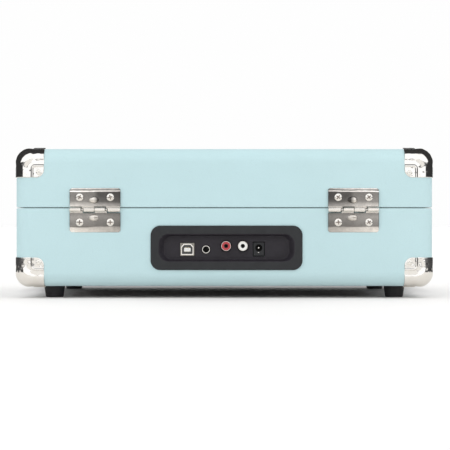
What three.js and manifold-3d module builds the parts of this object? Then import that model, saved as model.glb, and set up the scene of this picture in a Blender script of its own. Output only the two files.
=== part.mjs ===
// Suitcase record player: a wooden case in two halves, joined by two butt hinges at the back, with a belt-driven
// turntable deck, tonearm, front loudspeakers and a rear socket tray. Millimetres, +Z up, front towards -Y.
// The model is laid out about the middle of the case (x = 0, y = 0, floor at z = 0) and the whole group is then
// moved along Y so that the origin is under the middle of everything, handle and hinges included.
import * as THREE from "three";
import { mergeVertices } from "three/addons/utils/BufferGeometryUtils.js";
import { RoundedBoxGeometry } from "three/addons/geometries/RoundedBoxGeometry.js";
import Module from "manifold-3d";

const wasm = await Module();
wasm.setup();

// ---------------------------------------------------------------- driving dimensions
const CASE_W = 350, CASE_D = 255; // outer width and depth of the covered wooden case
const FOOT_H = 10; // underside of the case above the floor
const TOP_Z = 125.4; // top of the lid
const SEAM_Z = 75.8, SEAM_GAP = 0.6; // where the lid meets the base
const CASE_R = 12; // outer edge rounding
const WALL = 6, FLOOR_T = 5;
const INNER_R = 6;
const W2 = CASE_W / 2, D2 = CASE_D / 2;

const CORNER_T = 0.9, CORNER_GAP = 0.25, CORNER_L = 25.5, CORNER_INNER_R = 7; // pressed metal corners

const PIN_Y = D2 + 2.45, PIN_Z = 74.1; // lid hinge axis, parallel to X
const HINGE_X = 108, HINGE_W = 42.4, KNUCKLE_R = 2.05;

const HANDLE_X = 50, HANDLE_Y = -(D2 + 8.5), HANDLE_Z = 60, GRIP_Z = 29;
const LATCH_X = 82, LATCH_PIN_Y = -(D2 + 5), LATCH_PIN_Z = 45.5;
const SPEAKER_X = 124, SPEAKER_Z = 37.5;

const TRAY_X = -1.9, TRAY_Z = 42.3, TRAY_W = 127, TRAY_H = 37.2, TRAY_R = 8.1; // rear socket tray
const POCKET_W = 112.4, POCKET_H = 22.2, POCKET_R = 8, POCKET_Y = D2 - 4; // its recess

const DECK_Z = 68, DECK_T = 3;
const SX = -42, SY = 0; // turntable spindle
const PX = 118, PY = 86; // tonearm pivot
const ARM_Z = 92, ARM_L = 192;
const PLATTER_R = 98, BELT_RING_R = 66, PULLEY_R = 5, PULLEY_D = 82, PULLEY_A = (135 * Math.PI) / 180;
const MX = SX + PULLEY_D * Math.cos(PULLEY_A), MY = SY + PULLEY_D * Math.sin(PULLEY_A); // motor shaft

const FRONT_REACH = D2 + 8.5 + 6.5; // furthest point forward: the handle's grip
const BACK_REACH = D2 + 2.45 + KNUCKLE_R; // furthest point back: the hinge knuckles
const SHIFT_Y = (FRONT_REACH - BACK_REACH) / 2;

// ---------------------------------------------------------------- solids
function solid(geometry) {
  const g = geometry.index ? geometry.toNonIndexed() : geometry.clone();
  const p = new THREE.BufferGeometry().setAttribute("position", g.getAttribute("position"));
  const m = mergeVertices(p, 1e-3);
  const make = (flip) => {
    const t = new Uint32Array(m.index.array);
    if (flip) for (let i = 0; i < t.length; i += 3) [t[i + 1], t[i + 2]] = [t[i + 2], t[i + 1]];
    return new wasm.Manifold(new wasm.Mesh({ numProp: 3, vertProperties: new Float32Array(m.attributes.position.array), triVerts: t }));
  };
  const s = make(false);
  return s.volume() < 0 ? make(true) : s;
}
const group = new THREE.Group();
const shade = {};
function add(name, s, colour, roughness, metalness, at = [0, 0, 0]) {
  const m = s.getMesh(), n = m.numProp, v = new Float32Array(m.numVert * 3);
  for (let i = 0; i < m.numVert; i++) v.set(m.vertProperties.subarray(i * n, i * n + 3), i * 3);
  const g = new THREE.BufferGeometry();
  g.setAttribute("position", new THREE.BufferAttribute(v, 3));
  g.setIndex(new THREE.BufferAttribute(new Uint32Array(m.triVerts), 1));
  g.computeVertexNormals();
  const key = [colour, roughness, metalness].join();
  shade[key] ??= new THREE.MeshStandardMaterial({ color: colour, roughness, metalness });
  const mesh = new THREE.Mesh(g, shade[key]);
  mesh.name = name;
  mesh.position.set(...at);
  group.add(mesh);
  return mesh;
}
const join = (...s) => s.reduce((a, b) => a.add(b));
const cut = (a, ...s) => s.reduce((r, b) => r.subtract(b), a);

function box(x0, x1, y0, y1, z0, z1) {
  return solid(new THREE.BoxGeometry(x1 - x0, y1 - y0, z1 - z0).translate((x0 + x1) / 2, (y0 + y1) / 2, (z0 + z1) / 2));
}
function rounded(w, h, r) {
  const s = new THREE.Shape();
  s.moveTo(-w / 2 + r, -h / 2);
  s.lineTo(w / 2 - r, -h / 2);
  s.absarc(w / 2 - r, -h / 2 + r, r, -Math.PI / 2, 0);
  s.lineTo(w / 2, h / 2 - r);
  s.absarc(w / 2 - r, h / 2 - r, r, 0, Math.PI / 2);
  s.lineTo(-w / 2 + r, h / 2);
  s.absarc(-w / 2 + r, h / 2 - r, r, Math.PI / 2, Math.PI);
  s.lineTo(-w / 2, -h / 2 + r);
  s.absarc(-w / 2 + r, -h / 2 + r, r, Math.PI, 1.5 * Math.PI);
  return s;
}
// A prism of a shape drawn in XY, from z0 to z1.
function upright(shape, z0, z1, segments = 4) {
  return solid(new THREE.ExtrudeGeometry(shape, { depth: z1 - z0, bevelEnabled: false, curveSegments: segments }).translate(0, 0, z0));
}
// A prism of a shape drawn in XZ, seen from behind or in front, from y0 to y1.
function across(shape, y0, y1, segments = 4) {
  const g = new THREE.ExtrudeGeometry(shape, { depth: y1 - y0, bevelEnabled: false, curveSegments: segments });
  g.rotateX(Math.PI / 2).translate(0, y1, 0);
  return solid(g);
}
// A prism of a shape drawn in YZ, from x0 to x1.
function sideways(shape, x0, x1, segments = 4) {
  const g = new THREE.ExtrudeGeometry(shape, { depth: x1 - x0, bevelEnabled: false, curveSegments: segments });
  g.rotateZ(Math.PI / 2).rotateY(Math.PI / 2).translate(x0, 0, 0);
  return solid(g);
}
// A turned solid about Z: the profile closes on itself or on the axis.
function turned(profile, segments = 24, at = [0, 0, 0]) {
  const pts = profile.map(([r, z]) => new THREE.Vector2(Math.max(r, 0), z));
  if (pts.at(-1).distanceTo(pts[0]) > 1e-6 && !(pts[0].x === 0 && pts.at(-1).x === 0)) pts.push(pts[0].clone());
  return solid(new THREE.LatheGeometry(pts, segments).rotateX(Math.PI / 2).translate(...at));
}
const rod = (r, z0, z1, at = [0, 0], n = 16) => solid(new THREE.CylinderGeometry(r, r, z1 - z0, n).rotateX(Math.PI / 2).translate(at[0], at[1], (z0 + z1) / 2));
const rodX = (r, x0, x1, y, z, n = 12) => solid(new THREE.CylinderGeometry(r, r, x1 - x0, n).rotateZ(Math.PI / 2).translate((x0 + x1) / 2, y, z));
const rodY = (r, y0, y1, x, z, n = 12) => solid(new THREE.CylinderGeometry(r, r, y1 - y0, n).translate(x, (y0 + y1) / 2, z));
const moved = (s, x, y, z) => s.translate([x, y, z]);
const mirrorX = (s) => s.scale([-1, 1, 1]);

// ---------------------------------------------------------------- colours
const LEATHERETTE = 0xc7e3e7, NICKEL = 0xd8d4cf, BLACK = 0x26272b, RUBBER = 0x1c1c1f, STEEL = 0xc4c2be, IVORY = 0xeae6da, RED = 0xb5323a, GREEN = 0x1f5a3a;

// ---------------------------------------------------------------- the case: base and lid
const CASE_H = TOP_Z - FOOT_H, CASE_MID = (TOP_Z + FOOT_H) / 2;
const outer = (grow, segments = 2) => solid(new RoundedBoxGeometry(CASE_W + 2 * grow, CASE_D + 2 * grow, CASE_H + 2 * grow, segments, CASE_R + grow).translate(0, 0, CASE_MID));
const whole = outer(0);
const big = (z0, z1) => box(-W2 - 20, W2 + 20, -D2 - 20, D2 + 20, z0, z1);
const inside = (z0, z1) => upright(rounded(CASE_W - 2 * WALL, CASE_D - 2 * WALL, INNER_R), z0, z1, 3);

let base = cut(whole.intersect(big(0, SEAM_Z - SEAM_GAP / 2)), inside(FOOT_H + FLOOR_T, 90));
base = base.subtract(moved(across(rounded(POCKET_W + 4.2, POCKET_H + 4.2, POCKET_R + 2), D2 - 9, D2 + 3), TRAY_X, 0, TRAY_Z));
for (const s of [-1, 1]) base = base.subtract(moved(across(rounded(44, 30, 6), -D2 - 3, -D2 + 9, 3), s * SPEAKER_X, 0, SPEAKER_Z));
// wooden blocks in the corners carry the deck
for (const sx of [-1, 1]) for (const sy of [-1, 1]) {
  const x = sx * (W2 - WALL - 6.5), y = sy * (D2 - WALL - 6.5);
  base = base.add(box(x - 7, x + 7, y - 7, y + 7, FOOT_H + FLOOR_T - 1, DECK_Z - DECK_T - 0.3).intersect(inside(0, 90).add(big(FOOT_H + 2, FOOT_H + FLOOR_T + 0.5).intersect(whole))));
}
add("base_case", base, LEATHERETTE, 0.6, 0);
const lid = cut(whole.intersect(big(SEAM_Z + SEAM_GAP / 2, 200)), inside(60, TOP_Z - WALL));
add("lid_case", lid, LEATHERETTE, 0.6, 0);

// ---------------------------------------------------------------- pressed metal corners
const shell = outer(CORNER_GAP + CORNER_T).subtract(outer(CORNER_GAP));
const E = CORNER_GAP + CORNER_T; // how far a corner stands proud
const flap = new THREE.Shape(); // a square with its inner corner rounded, drawn from the case's own corner at 0, 0
flap.moveTo(-5, -5);
flap.lineTo(CORNER_L, -5);
flap.lineTo(CORNER_L, CORNER_L - CORNER_INNER_R);
flap.absarc(CORNER_L - CORNER_INNER_R, CORNER_L - CORNER_INNER_R, CORNER_INNER_R, 0, Math.PI / 2);
flap.lineTo(-5, CORNER_L);
const at = [-(W2 + E), -(D2 + E), FOOT_H - E];
const TAB = 15.2, TAB_STEP = 0.5; // each flap steps down to a small tab that takes a nail
let oneCorner = shell
  .intersect(moved(upright(flap, -20, 60), at[0], at[1], 0))
  .intersect(moved(across(flap, -200, 0), at[0], 0, at[2]))
  .intersect(moved(sideways(flap, -250, 0), 0, at[1], at[2]));
for (let k = 0; k < 3; k++) {
  const lo = at.map((v, i) => (i === k ? v - 2 : v + TAB)), hi = at.map((v, i) => (i === k ? v + TAB_STEP : v + CORNER_L + 5));
  oneCorner = oneCorner.subtract(box(lo[0], hi[0], lo[1], hi[1], lo[2], hi[2]));
}
// mirrored about the middle of the case for the other seven
function cornerAt(sx, sy, sz) {
  let s = moved(oneCorner, 0, 0, -CASE_MID);
  s = s.scale([sx < 0 ? 1 : -1, sy < 0 ? 1 : -1, sz < 0 ? 1 : -1]);
  return moved(s, 0, 0, CASE_MID);
}
for (const [n, sx, sy] of [["front_left", -1, -1], ["front_right", 1, -1], ["rear_left", -1, 1], ["rear_right", 1, 1]]) {
  add("base_corner_" + n, cornerAt(sx, sy, -1), NICKEL, 0.12, 1);
  add("lid_corner_" + n, cornerAt(sx, sy, 1), NICKEL, 0.12, 1);
  add("foot_" + n, turned([[0, 0], [7.0, 0], [7.6, 0.6], [9, FOOT_H - 0.3], [0, FOOT_H - 0.3]], 20, [sx * 145, sy * 95, 0]), RUBBER, 0.8, 0);
}

// ---------------------------------------------------------------- hinges: outward is away from the middle of the case
const LEAF0 = D2 + 0.3, LEAF1 = D2 + 1.5, LEAF_LOW = 55.2, LEAF_HIGH = 92.4, KGAP = 0.3;
const H = HINGE_W / 2;
const knuckles = { base: [[10.7, H], [-10.3, -0.1]], lid: [[0.3, 10.3], [-H, -10.7]] };
for (const side of [-1, 1]) {
  const X = (a, b) => { const p = side * (HINGE_X + a), q = side * (HINGE_X + b); return [Math.min(p, q), Math.max(p, q)]; };
  const bore = rodX(1.3, ...X(-H - 1, H + 1), PIN_Y, PIN_Z, 10);
  for (const which of ["base", "lid"]) {
    const down = which === "base";
    const z0 = down ? LEAF_LOW : PIN_Z + KNUCKLE_R + 0.45, z1 = down ? PIN_Z - KNUCKLE_R - 0.45 : LEAF_HIGH;
    let leaf = box(...X(-H, H), LEAF0, LEAF1, z0, z1);
    for (const k of knuckles[which]) {
      leaf = leaf.add(rodX(KNUCKLE_R, ...X(...k), PIN_Y, PIN_Z, 12));
      leaf = leaf.add(down ? box(...X(...k), LEAF0, LEAF1, z1 - 1, PIN_Z) : box(...X(...k), LEAF0, LEAF1, PIN_Z, z0 + 1));
    }
    leaf = leaf.subtract(bore);
    // pan-head screws, driven through the leaf into the case
    for (const s of [-1, 1]) {
      const x = side * HINGE_X + s * 12.8, z = down ? 63.6 : 84.6;
      leaf = leaf.add(solid(new THREE.LatheGeometry([[0, -0.4], [3.3, -0.4], [3.3, 0.5], [2.2, 1.4], [0, 1.5]].map(([r, y]) => new THREE.Vector2(r, y)), 10).translate(x, LEAF1, z)));
    }
    add(`hinge_leaf_${which}_${side < 0 ? "left" : "right"}`, leaf, NICKEL, 0.25, 1);
  }
  add(`hinge_pin_${side < 0 ? "left" : "right"}`, rodX(1.0, ...X(-H + 0.2, H - 0.2), PIN_Y, PIN_Z, 10), STEEL, 0.3, 1);
}

// ---------------------------------------------------------------- rear socket tray
const FL0 = D2 + 0.3, FL1 = D2 + 1.5;
let tray = moved(across(rounded(TRAY_W, TRAY_H, TRAY_R), FL0, FL1, 5), TRAY_X, 0, TRAY_Z);
tray = tray.add(moved(across(rounded(POCKET_W + 3, POCKET_H + 3, POCKET_R + 1.5), POCKET_Y - 1.5, FL0 + 0.2, 5), TRAY_X, 0, TRAY_Z));
tray = tray.subtract(moved(across(rounded(POCKET_W, POCKET_H, POCKET_R), POCKET_Y, D2 + 4, 5), TRAY_X, 0, TRAY_Z));
const SOCKET = { usb: [31.0, 40.9], aux: [15.3, 40.9], rcaR: [-1.5, 43.8], rcaW: [-15.5, 43.8], dc: [-28.9, 41.2] };
const PCB_Z = 33.8;
const slot = (x0, x1, z0, z1) => box(x0, x1, POCKET_Y - 4, POCKET_Y + 2, z0, z1);
tray = cut(tray,
  slot(SOCKET.usb[0] - 6.4, SOCKET.usb[0] + 6.4, SOCKET.usb[1] - 5.8, SOCKET.usb[1] + 5.8),
  rodY(3.7, POCKET_Y - 4, POCKET_Y + 2, ...SOCKET.aux, 16),
  rodY(4.6, POCKET_Y - 4, POCKET_Y + 2, ...SOCKET.rcaR, 16),
  rodY(4.6, POCKET_Y - 4, POCKET_Y + 2, ...SOCKET.rcaW, 16),
  slot(SOCKET.dc[0] - 5.0, SOCKET.dc[0] + 5.0, SOCKET.dc[1] - 6.2, SOCKET.dc[1] + 6.2));
add("socket_tray", tray, BLACK, 0.5, 0);

// data socket: square shell round a tongue
let usb = box(SOCKET.usb[0] - 6.05, SOCKET.usb[0] + 6.05, POCKET_Y - 15, POCKET_Y + 0.6, SOCKET.usb[1] - 5.5, SOCKET.usb[1] + 5.5);
const usbHole = new THREE.Shape([[-4.25, -3.9], [4.25, -3.9], [4.25, 2.2], [2.7, 3.9], [-2.7, 3.9], [-4.25, 2.2]].map(([x, y]) => new THREE.Vector2(x, y)));
usb = usb.subtract(moved(across(usbHole, POCKET_Y - 8, POCKET_Y + 2), SOCKET.usb[0], 0, SOCKET.usb[1]));
usb = usb.add(box(SOCKET.usb[0] - 2.85, SOCKET.usb[0] + 2.85, POCKET_Y - 9, POCKET_Y, SOCKET.usb[1] - 1.7, SOCKET.usb[1] + 1.5));
add("usb_socket", usb, STEEL, 0.3, 1);
// 3.5 mm socket
let aux = join(box(SOCKET.aux[0] - 3.2, SOCKET.aux[0] + 3.2, POCKET_Y - 13, POCKET_Y - 1.8, PCB_Z + 0.3, SOCKET.aux[1] + 3.2), rodY(3.4, POCKET_Y - 2.2, POCKET_Y + 1.2, ...SOCKET.aux, 16));
add("aux_socket", aux.subtract(rodY(1.95, POCKET_Y - 10, POCKET_Y + 3, ...SOCKET.aux, 12)), STEEL, 0.3, 1);
// a pair of line-out sockets on one block
const mid = (SOCKET.rcaR[0] + SOCKET.rcaW[0]) / 2;
let rca = box(mid - 12.5, mid + 12.5, POCKET_Y - 13, POCKET_Y - 1.8, PCB_Z + 0.3, SOCKET.rcaR[1] + 5.2);
for (const s of [SOCKET.rcaR, SOCKET.rcaW]) rca = rca.add(rodY(4.2, POCKET_Y - 2.2, POCKET_Y + 4.2, ...s, 16)).subtract(rodY(1.65, POCKET_Y - 8, POCKET_Y + 6, ...s, 10));
add("line_out_sockets", rca, IVORY, 0.4, 0);
// power socket: square body, round hole, centre pin
let dc = box(SOCKET.dc[0] - 4.7, SOCKET.dc[0] + 4.7, POCKET_Y - 13, POCKET_Y + 0.3, SOCKET.dc[1] - 5.9, SOCKET.dc[1] + 5.9);
dc = dc.subtract(rodY(3.0, POCKET_Y - 9, POCKET_Y + 3, SOCKET.dc[0], SOCKET.dc[1] + 1.0, 16)).add(rodY(1.0, POCKET_Y - 10, POCKET_Y - 0.6, SOCKET.dc[0], SOCKET.dc[1] + 1.0, 8));
add("power_socket", dc, BLACK, 0.5, 0);

// main circuit board on four stand-offs, under the sockets
let pcb = box(-52, 50, 70, 119.5, PCB_Z - 1.6, PCB_Z);
for (const [x, y] of [[-47, 75], [45, 75], [-47, 114], [45, 114]]) pcb = pcb.add(rod(2.6, FOOT_H + FLOOR_T + 0.3, PCB_Z - 1, [x, y], 8));
pcb = join(pcb, rod(4, PCB_Z - 1, PCB_Z + 12, [-35, 88], 12), rod(4, PCB_Z - 1, PCB_Z + 12, [-24, 88], 12), box(0, 16, 84, 92, PCB_Z - 1, PCB_Z + 3), box(26, 40, 78, 82, PCB_Z - 1, PCB_Z + 14));
// its shelf under the sockets is cut back where their pins go through
for (const [x0, x1] of [[SOCKET.usb[0] - 6.4, SOCKET.usb[0] + 6.4], [SOCKET.dc[0] - 5, SOCKET.dc[0] + 5]]) pcb = pcb.subtract(box(x0, x1, POCKET_Y - 15.4, 130, PCB_Z - 0.6, PCB_Z + 1));
add("circuit_board", pcb, GREEN, 0.5, 0);

// ---------------------------------------------------------------- loudspeakers and their grilles
for (const side of [-1, 1]) {
  const n = side < 0 ? "left" : "right", x = side * SPEAKER_X;
  let grille = moved(across(rounded(50, 36, 8), -D2 - 1.5, -D2 - 0.3, 4), x, 0, SPEAKER_Z).add(moved(across(rounded(43.4, 29.4, 5.7), -D2 - 0.5, -D2 + 2, 4), x, 0, SPEAKER_Z));
  for (let i = -3; i <= 3; i++) grille = grille.subtract(box(x + i * 5.6 - 1.4, x + i * 5.6 + 1.4, -D2 - 3, -D2 + 4, SPEAKER_Z - 11, SPEAKER_Z + 11));
  add("speaker_grille_" + n, grille, BLACK, 0.5, 0);
  const y0 = -D2 + WALL + 0.3;
  let sp = box(x - 25, x + 25, y0, y0 + 2.5, SPEAKER_Z - 22, SPEAKER_Z + 24);
  const cone = (pts, k) => solid(new THREE.LatheGeometry(pts.map(([r, y]) => new THREE.Vector2(r, y)), k).translate(x, y0, SPEAKER_Z + 1));
  sp = sp.add(cone([[0, 1], [22, 1], [20, 6], [11, 14], [11, 15], [15, 15], [15, 24], [0, 24]], 16));
  sp = sp.subtract(cone([[0, -2], [19.5, -2], [19.5, 1], [6, 9], [0, 7.5]], 16));
  add("speaker_" + n, sp, BLACK, 0.7, 0);
}

// ---------------------------------------------------------------- carrying handle
for (const side of [-1, 1]) {
  const n = side < 0 ? "left" : "right", x = side * HANDLE_X;
  let bracket = moved(across(rounded(15, 24, 3), -D2 - 1.7, -D2 - 0.3, 3), x, 0, HANDLE_Z);
  bracket = bracket.add(box(x - 4, x + 4, HANDLE_Y, -D2 - 1, HANDLE_Z - 4, HANDLE_Z + 4)).add(rodX(4, x - 4, x + 4, HANDLE_Y, HANDLE_Z, 16));
  add("handle_bracket_" + n, bracket.subtract(rodX(2.1, x - 6, x + 6, HANDLE_Y, HANDLE_Z, 12)), NICKEL, 0.2, 1);
}
{
  // one bar with an arm at each end, hanging from a pin in each bracket
  const grip = new THREE.CatmullRomCurve3([[-44.6, HANDLE_Z], [-44.2, 47], [-40, 35], [-28, GRIP_Z], [0, GRIP_Z - 1], [28, GRIP_Z], [40, 35], [44.2, 47], [44.6, HANDLE_Z]].map(([x, z]) => new THREE.Vector3(x, HANDLE_Y, z)));
  const section = (w, h, n = 12) => new THREE.Shape(Array.from({ length: n }, (_, i) => new THREE.Vector2((w / 2) * Math.cos((2 * Math.PI * i) / n), (h / 2) * Math.sin((2 * Math.PI * i) / n))));
  let handle = solid(new THREE.ExtrudeGeometry(section(6, 5, 10), { steps: 22, extrudePath: grip, curveSegments: 4 }));
  const pad = new THREE.LatheGeometry([[0, -38], [4.6, -38], [5.8, -34], [6.5, -20], [6.5, 20], [5.8, 34], [4.6, 38], [0, 38]].map(([r, y]) => new THREE.Vector2(r, y)), 14).rotateZ(Math.PI / 2).scale(1, 1, 1.2).translate(0, HANDLE_Y, GRIP_Z);
  handle = handle.add(solid(pad)).intersect(box(-45.4, 45.4, HANDLE_Y - 6.5, HANDLE_Y + 6.5, 10, 80));
  for (const s of [-1, 1]) handle = handle.add(rodX(3.4, Math.min(s * 42, s * 45.4), Math.max(s * 42, s * 45.4), HANDLE_Y, HANDLE_Z, 12)).add(rodX(1.7, Math.min(s * 43, s * 53.5), Math.max(s * 43, s * 53.5), HANDLE_Y, HANDLE_Z, 10));
  add("handle_grip", handle, LEATHERETTE, 0.6, 0);
}

// ---------------------------------------------------------------- latches
for (const side of [-1, 1]) {
  const n = side < 0 ? "left" : "right", x = side * LATCH_X, y = LATCH_PIN_Y, z = LATCH_PIN_Z;
  let plate = moved(across(rounded(27, 34, 3), -D2 - 1.5, -D2 - 0.3, 3), x, 0, 56.5);
  for (const s of [-1, 1]) plate = plate.add(box(x + s * 11.5 - 1, x + s * 11.5 + 1, y - 3, -D2 - 1, z - 3.5, z + 3.5));
  add("latch_plate_" + n, plate.subtract(rodX(1.6, x - 14, x + 14, y, z, 10)), NICKEL, 0.2, 1);
  // lever: a curved blade on a hub, whose lip closes over the catch
  const blade = new THREE.Shape([[y + 1.2, z + 0.5], [y + 0.4, 62], [y - 0.4, 80], [y + 1.2, 88], [y + 1.5, 92], [y + 0.1, 93.4], [y - 0.8, 91.5], [y - 2.4, 84], [y - 2.3, 70], [y - 1.6, 58], [y - 2.6, z]].map(([a, b]) => new THREE.Vector2(a, b)));
  let lever = sideways(blade, x - 9.6, x + 9.6, 2).add(rodX(2.8, x - 9.6, x + 9.6, y, z, 14)).add(rodX(1.25, x - 12.3, x + 12.3, y, z, 10));
  add("latch_lever_" + n, lever, NICKEL, 0.2, 1);
  let hook = moved(across(rounded(21, 18, 2.5), -D2 - 1.5, -D2 - 0.3, 3), x, 0, 87.5).add(rodX(1.6, x - 8, x + 8, -D2 - 1.5, 87, 12).intersect(box(x - 9, x + 9, -D2 - 4, -D2 - 1.0, 80, 95)));
  add("latch_catch_" + n, hook, NICKEL, 0.2, 1);
}

// ---------------------------------------------------------------- deck
const DX = W2 - WALL - 0.4, DY = D2 - WALL - 0.4;
let deck = upright(rounded(2 * DX, 2 * DY, INNER_R - 0.4), DECK_Z - DECK_T, DECK_Z, 3);
deck = deck.subtract(rod(PLATTER_R + 3, DECK_Z - 1.2, DECK_Z + 3, [SX, SY], 40));
const CX = PX - 34 * Math.sin(0.384), CY = PY - 34 * Math.cos(0.384); // cue lifter plunger
deck = deck.add(rod(5.2, DECK_Z - 1, DECK_Z + 7, [CX, CY], 14));
const AX = -143, AY = 97; // 45 rpm adapter's pocket
const KX = 146, KY1 = -92, KY2 = -60; // knobs
const LX = 150, SPEED_Y = 32, STOP_Y = -2; // sliders
// bodies of the two rotary controls and the two switches hang under the deck and close its holes from below
const POT_Z = DECK_Z - 8.5;
deck = join(deck, rod(8, POT_Z, DECK_Z - 1, [KX, KY1], 16), rod(8, POT_Z, DECK_Z - 1, [KX, KY2], 16),
  box(LX - 5, LX + 5, SPEED_Y - 8, SPEED_Y + 24, POT_Z, DECK_Z - 1), box(LX - 4.5, LX + 4.5, STOP_Y - 6.5, STOP_Y + 12.5, POT_Z, DECK_Z - 1));
deck = cut(deck,
  rod(5.3, DECK_Z - 9, DECK_Z + 3, [SX, SY], 16),
  rod(6.2, DECK_Z - 9, DECK_Z + 3, [MX, MY], 16),
  rod(2.9, DECK_Z - 1.5, DECK_Z + 9, [CX, CY], 12),
  rod(19.6, DECK_Z - 2, DECK_Z + 3, [AX, AY], 24),
  rod(3.6, POT_Z + 1.2, DECK_Z + 3, [KX, KY1], 12),
  rod(3.6, POT_Z + 1.2, DECK_Z + 3, [KX, KY2], 12),
  box(LX - 2.1, LX + 2.1, SPEED_Y - 4.5, SPEED_Y + 20.5, POT_Z + 1.2, DECK_Z + 3),
  box(LX - 1.7, LX + 1.7, STOP_Y - 3.5, STOP_Y + 9.5, POT_Z + 1.2, DECK_Z + 3));
deck = deck.add(rod(3.2, DECK_Z - 2.5, DECK_Z + 3.4, [AX, AY], 12));
add("deck_plate", deck, BLACK, 0.45, 0);

// drive: motor under the deck, pulley, belt and platter
const motor = join(rod(14, 40, 62, [MX, MY], 20), box(MX - 23, MX + 23, MY - 15, MY + 15, 61.5, DECK_Z - DECK_T - 0.3)).subtract(rod(1.7, 57, 70, [MX, MY], 8));
add("motor", motor, STEEL, 0.35, 1);
add("motor_pulley", turned([[0, 58], [1.2, 58], [1.2, 71.5], [6, 71.5], [6, 72.3], [PULLEY_R, 72.8], [PULLEY_R, 77.2], [6, 77.7], [6, 78.4], [0, 78.4]], 16, [MX, MY, 0]), 0xc9a45a, 0.3, 1);
add("spindle", turned([[0, 52], [5.5, 52], [9, 56], [9, DECK_Z - DECK_T - 0.3], [4.9, DECK_Z - DECK_T - 0.3], [4.9, 67.1], [9, 67.1], [9, 69.6], [3.6, 70.2], [3.6, 90.6], [2.6, 92], [0, 92.6]], 16, [SX, SY, 0]), STEEL, 0.2, 1);
add("platter", turned([[4.0, 81.5], [4.0, 70.6], [9, 70.6], [9, 79], [63, 79], [63, 71.2], [BELT_RING_R, 71.2], [BELT_RING_R, 79], [95.5, 79], [95.5, 71.2], [97.4, 71.2], [PLATTER_R, 72], [PLATTER_R, 80.6], [97.2, 81.5]], 40, [SX, SY, 0]), BLACK, 0.4, 0);
add("slip_mat", turned([[4.0, 81.8], [96, 81.8], [96, 83.3], [4.0, 83.3]], 40, [SX, SY, 0]), 0x2b2b2e, 0.9, 0);
{
  // open belt round two circles, drawn about the spindle with the pulley on +X
  const loop = (R, r) => {
    const a = Math.acos((R - r) / PULLEY_D), p = [];
    for (let i = 0; i <= 30; i++) { const t = a + ((2 * Math.PI - 2 * a) * i) / 30; p.push(new THREE.Vector2(R * Math.cos(t), R * Math.sin(t))); }
    for (let i = 0; i <= 8; i++) { const t = -a + (2 * a * i) / 8; p.push(new THREE.Vector2(PULLEY_D + r * Math.cos(t), r * Math.sin(t))); }
    return p;
  };
  const g = 0.3, t = 0.8;
  const outline = new THREE.Shape(loop(BELT_RING_R + g + t, PULLEY_R + g + t));
  outline.holes.push(new THREE.Path(loop(BELT_RING_R + g, PULLEY_R + g).reverse()));
  add("drive_belt", moved(upright(outline, 73.2, 76.8).rotate([0, 0, 135]), SX, SY, 0), 0x17181a, 0.7, 0);
}

// ---------------------------------------------------------------- tonearm
let armBase = turned([[0, 68.3], [17, 68.3], [17, 70], [15, 72], [15, 78.2], [14.2, 79], [0, 79]], 22, [PX, PY, 0]).subtract(rod(4.4, 71, 90, [PX, PY], 14));
const QY = PY - 4, QZ = 74.6, QX = PX + 12; // cue lever's axle
armBase = armBase.add(box(QX - 3, QX + 8, QY - 4, QY + 5, 68.3, 78.4)).subtract(rod(4.4, 71, 90, [PX, PY], 14)).subtract(rodX(1.9, QX, QX + 12, QY, QZ, 10));
add("tonearm_base", armBase, BLACK, 0.45, 0);
let yoke = join(rod(4, 71.4, 80, [PX, PY], 14), turned([[0, 79.5], [13, 79.5], [14, 80.3], [14, 82], [0, 82]], 18, [PX, PY, 0]), box(PX + 8.4, PX + 11.4, PY - 6, PY + 6, 81, ARM_Z + 6), box(PX - 11.4, PX - 8.4, PY - 6, PY + 6, 81, ARM_Z + 6));
add("tonearm_yoke", yoke.subtract(rodX(1.8, PX - 14, PX + 14, PY, ARM_Z, 10)), BLACK, 0.4, 0);
{
  const headY = PY - 166;
  let arm = join(rodY(3.0, headY, PY + 20, PX, ARM_Z, 14), rodY(7.6, PY + 13, PY + 27, PX, ARM_Z, 20), rodX(1.4, PX - 11, PX + 11, PY, ARM_Z, 8), box(PX - 5.5, PX + 5.5, PY - 5, PY + 5, ARM_Z - 4, ARM_Z + 4));
  const head = new THREE.Shape([[-4, 4], [4, 4], [7.4, -8], [7.4, -33], [4, -36], [-4, -36], [-7.4, -33], [-7.4, -8]].map(([a, b]) => new THREE.Vector2(a, b)));
  let shellPart = upright(head, ARM_Z - 3, ARM_Z + 2.2, 2).add(box(7, 15, -26, -22, ARM_Z - 2.4, ARM_Z - 0.8));
  shellPart = moved(shellPart.rotate([0, 0, -20]), PX, headY, 0);
  add("tonearm_tube", arm.add(shellPart), 0x2a2b2f, 0.35, 0);
  let cart = join(box(-5.8, 5.8, -31, -12, ARM_Z - 6.4, ARM_Z - 3.3), box(-4.2, 4.2, -32, -22, ARM_Z - 6.9, ARM_Z - 6.2));
  cart = cart.add(solid(new THREE.CylinderGeometry(0.9, 0.35, 1.2, 8).rotateX(Math.PI / 2).translate(0, -27.6, ARM_Z - 7.2)));
  add("cartridge", moved(cart.rotate([0, 0, -20]), PX, headY, 0), RED, 0.4, 0);
}
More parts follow.
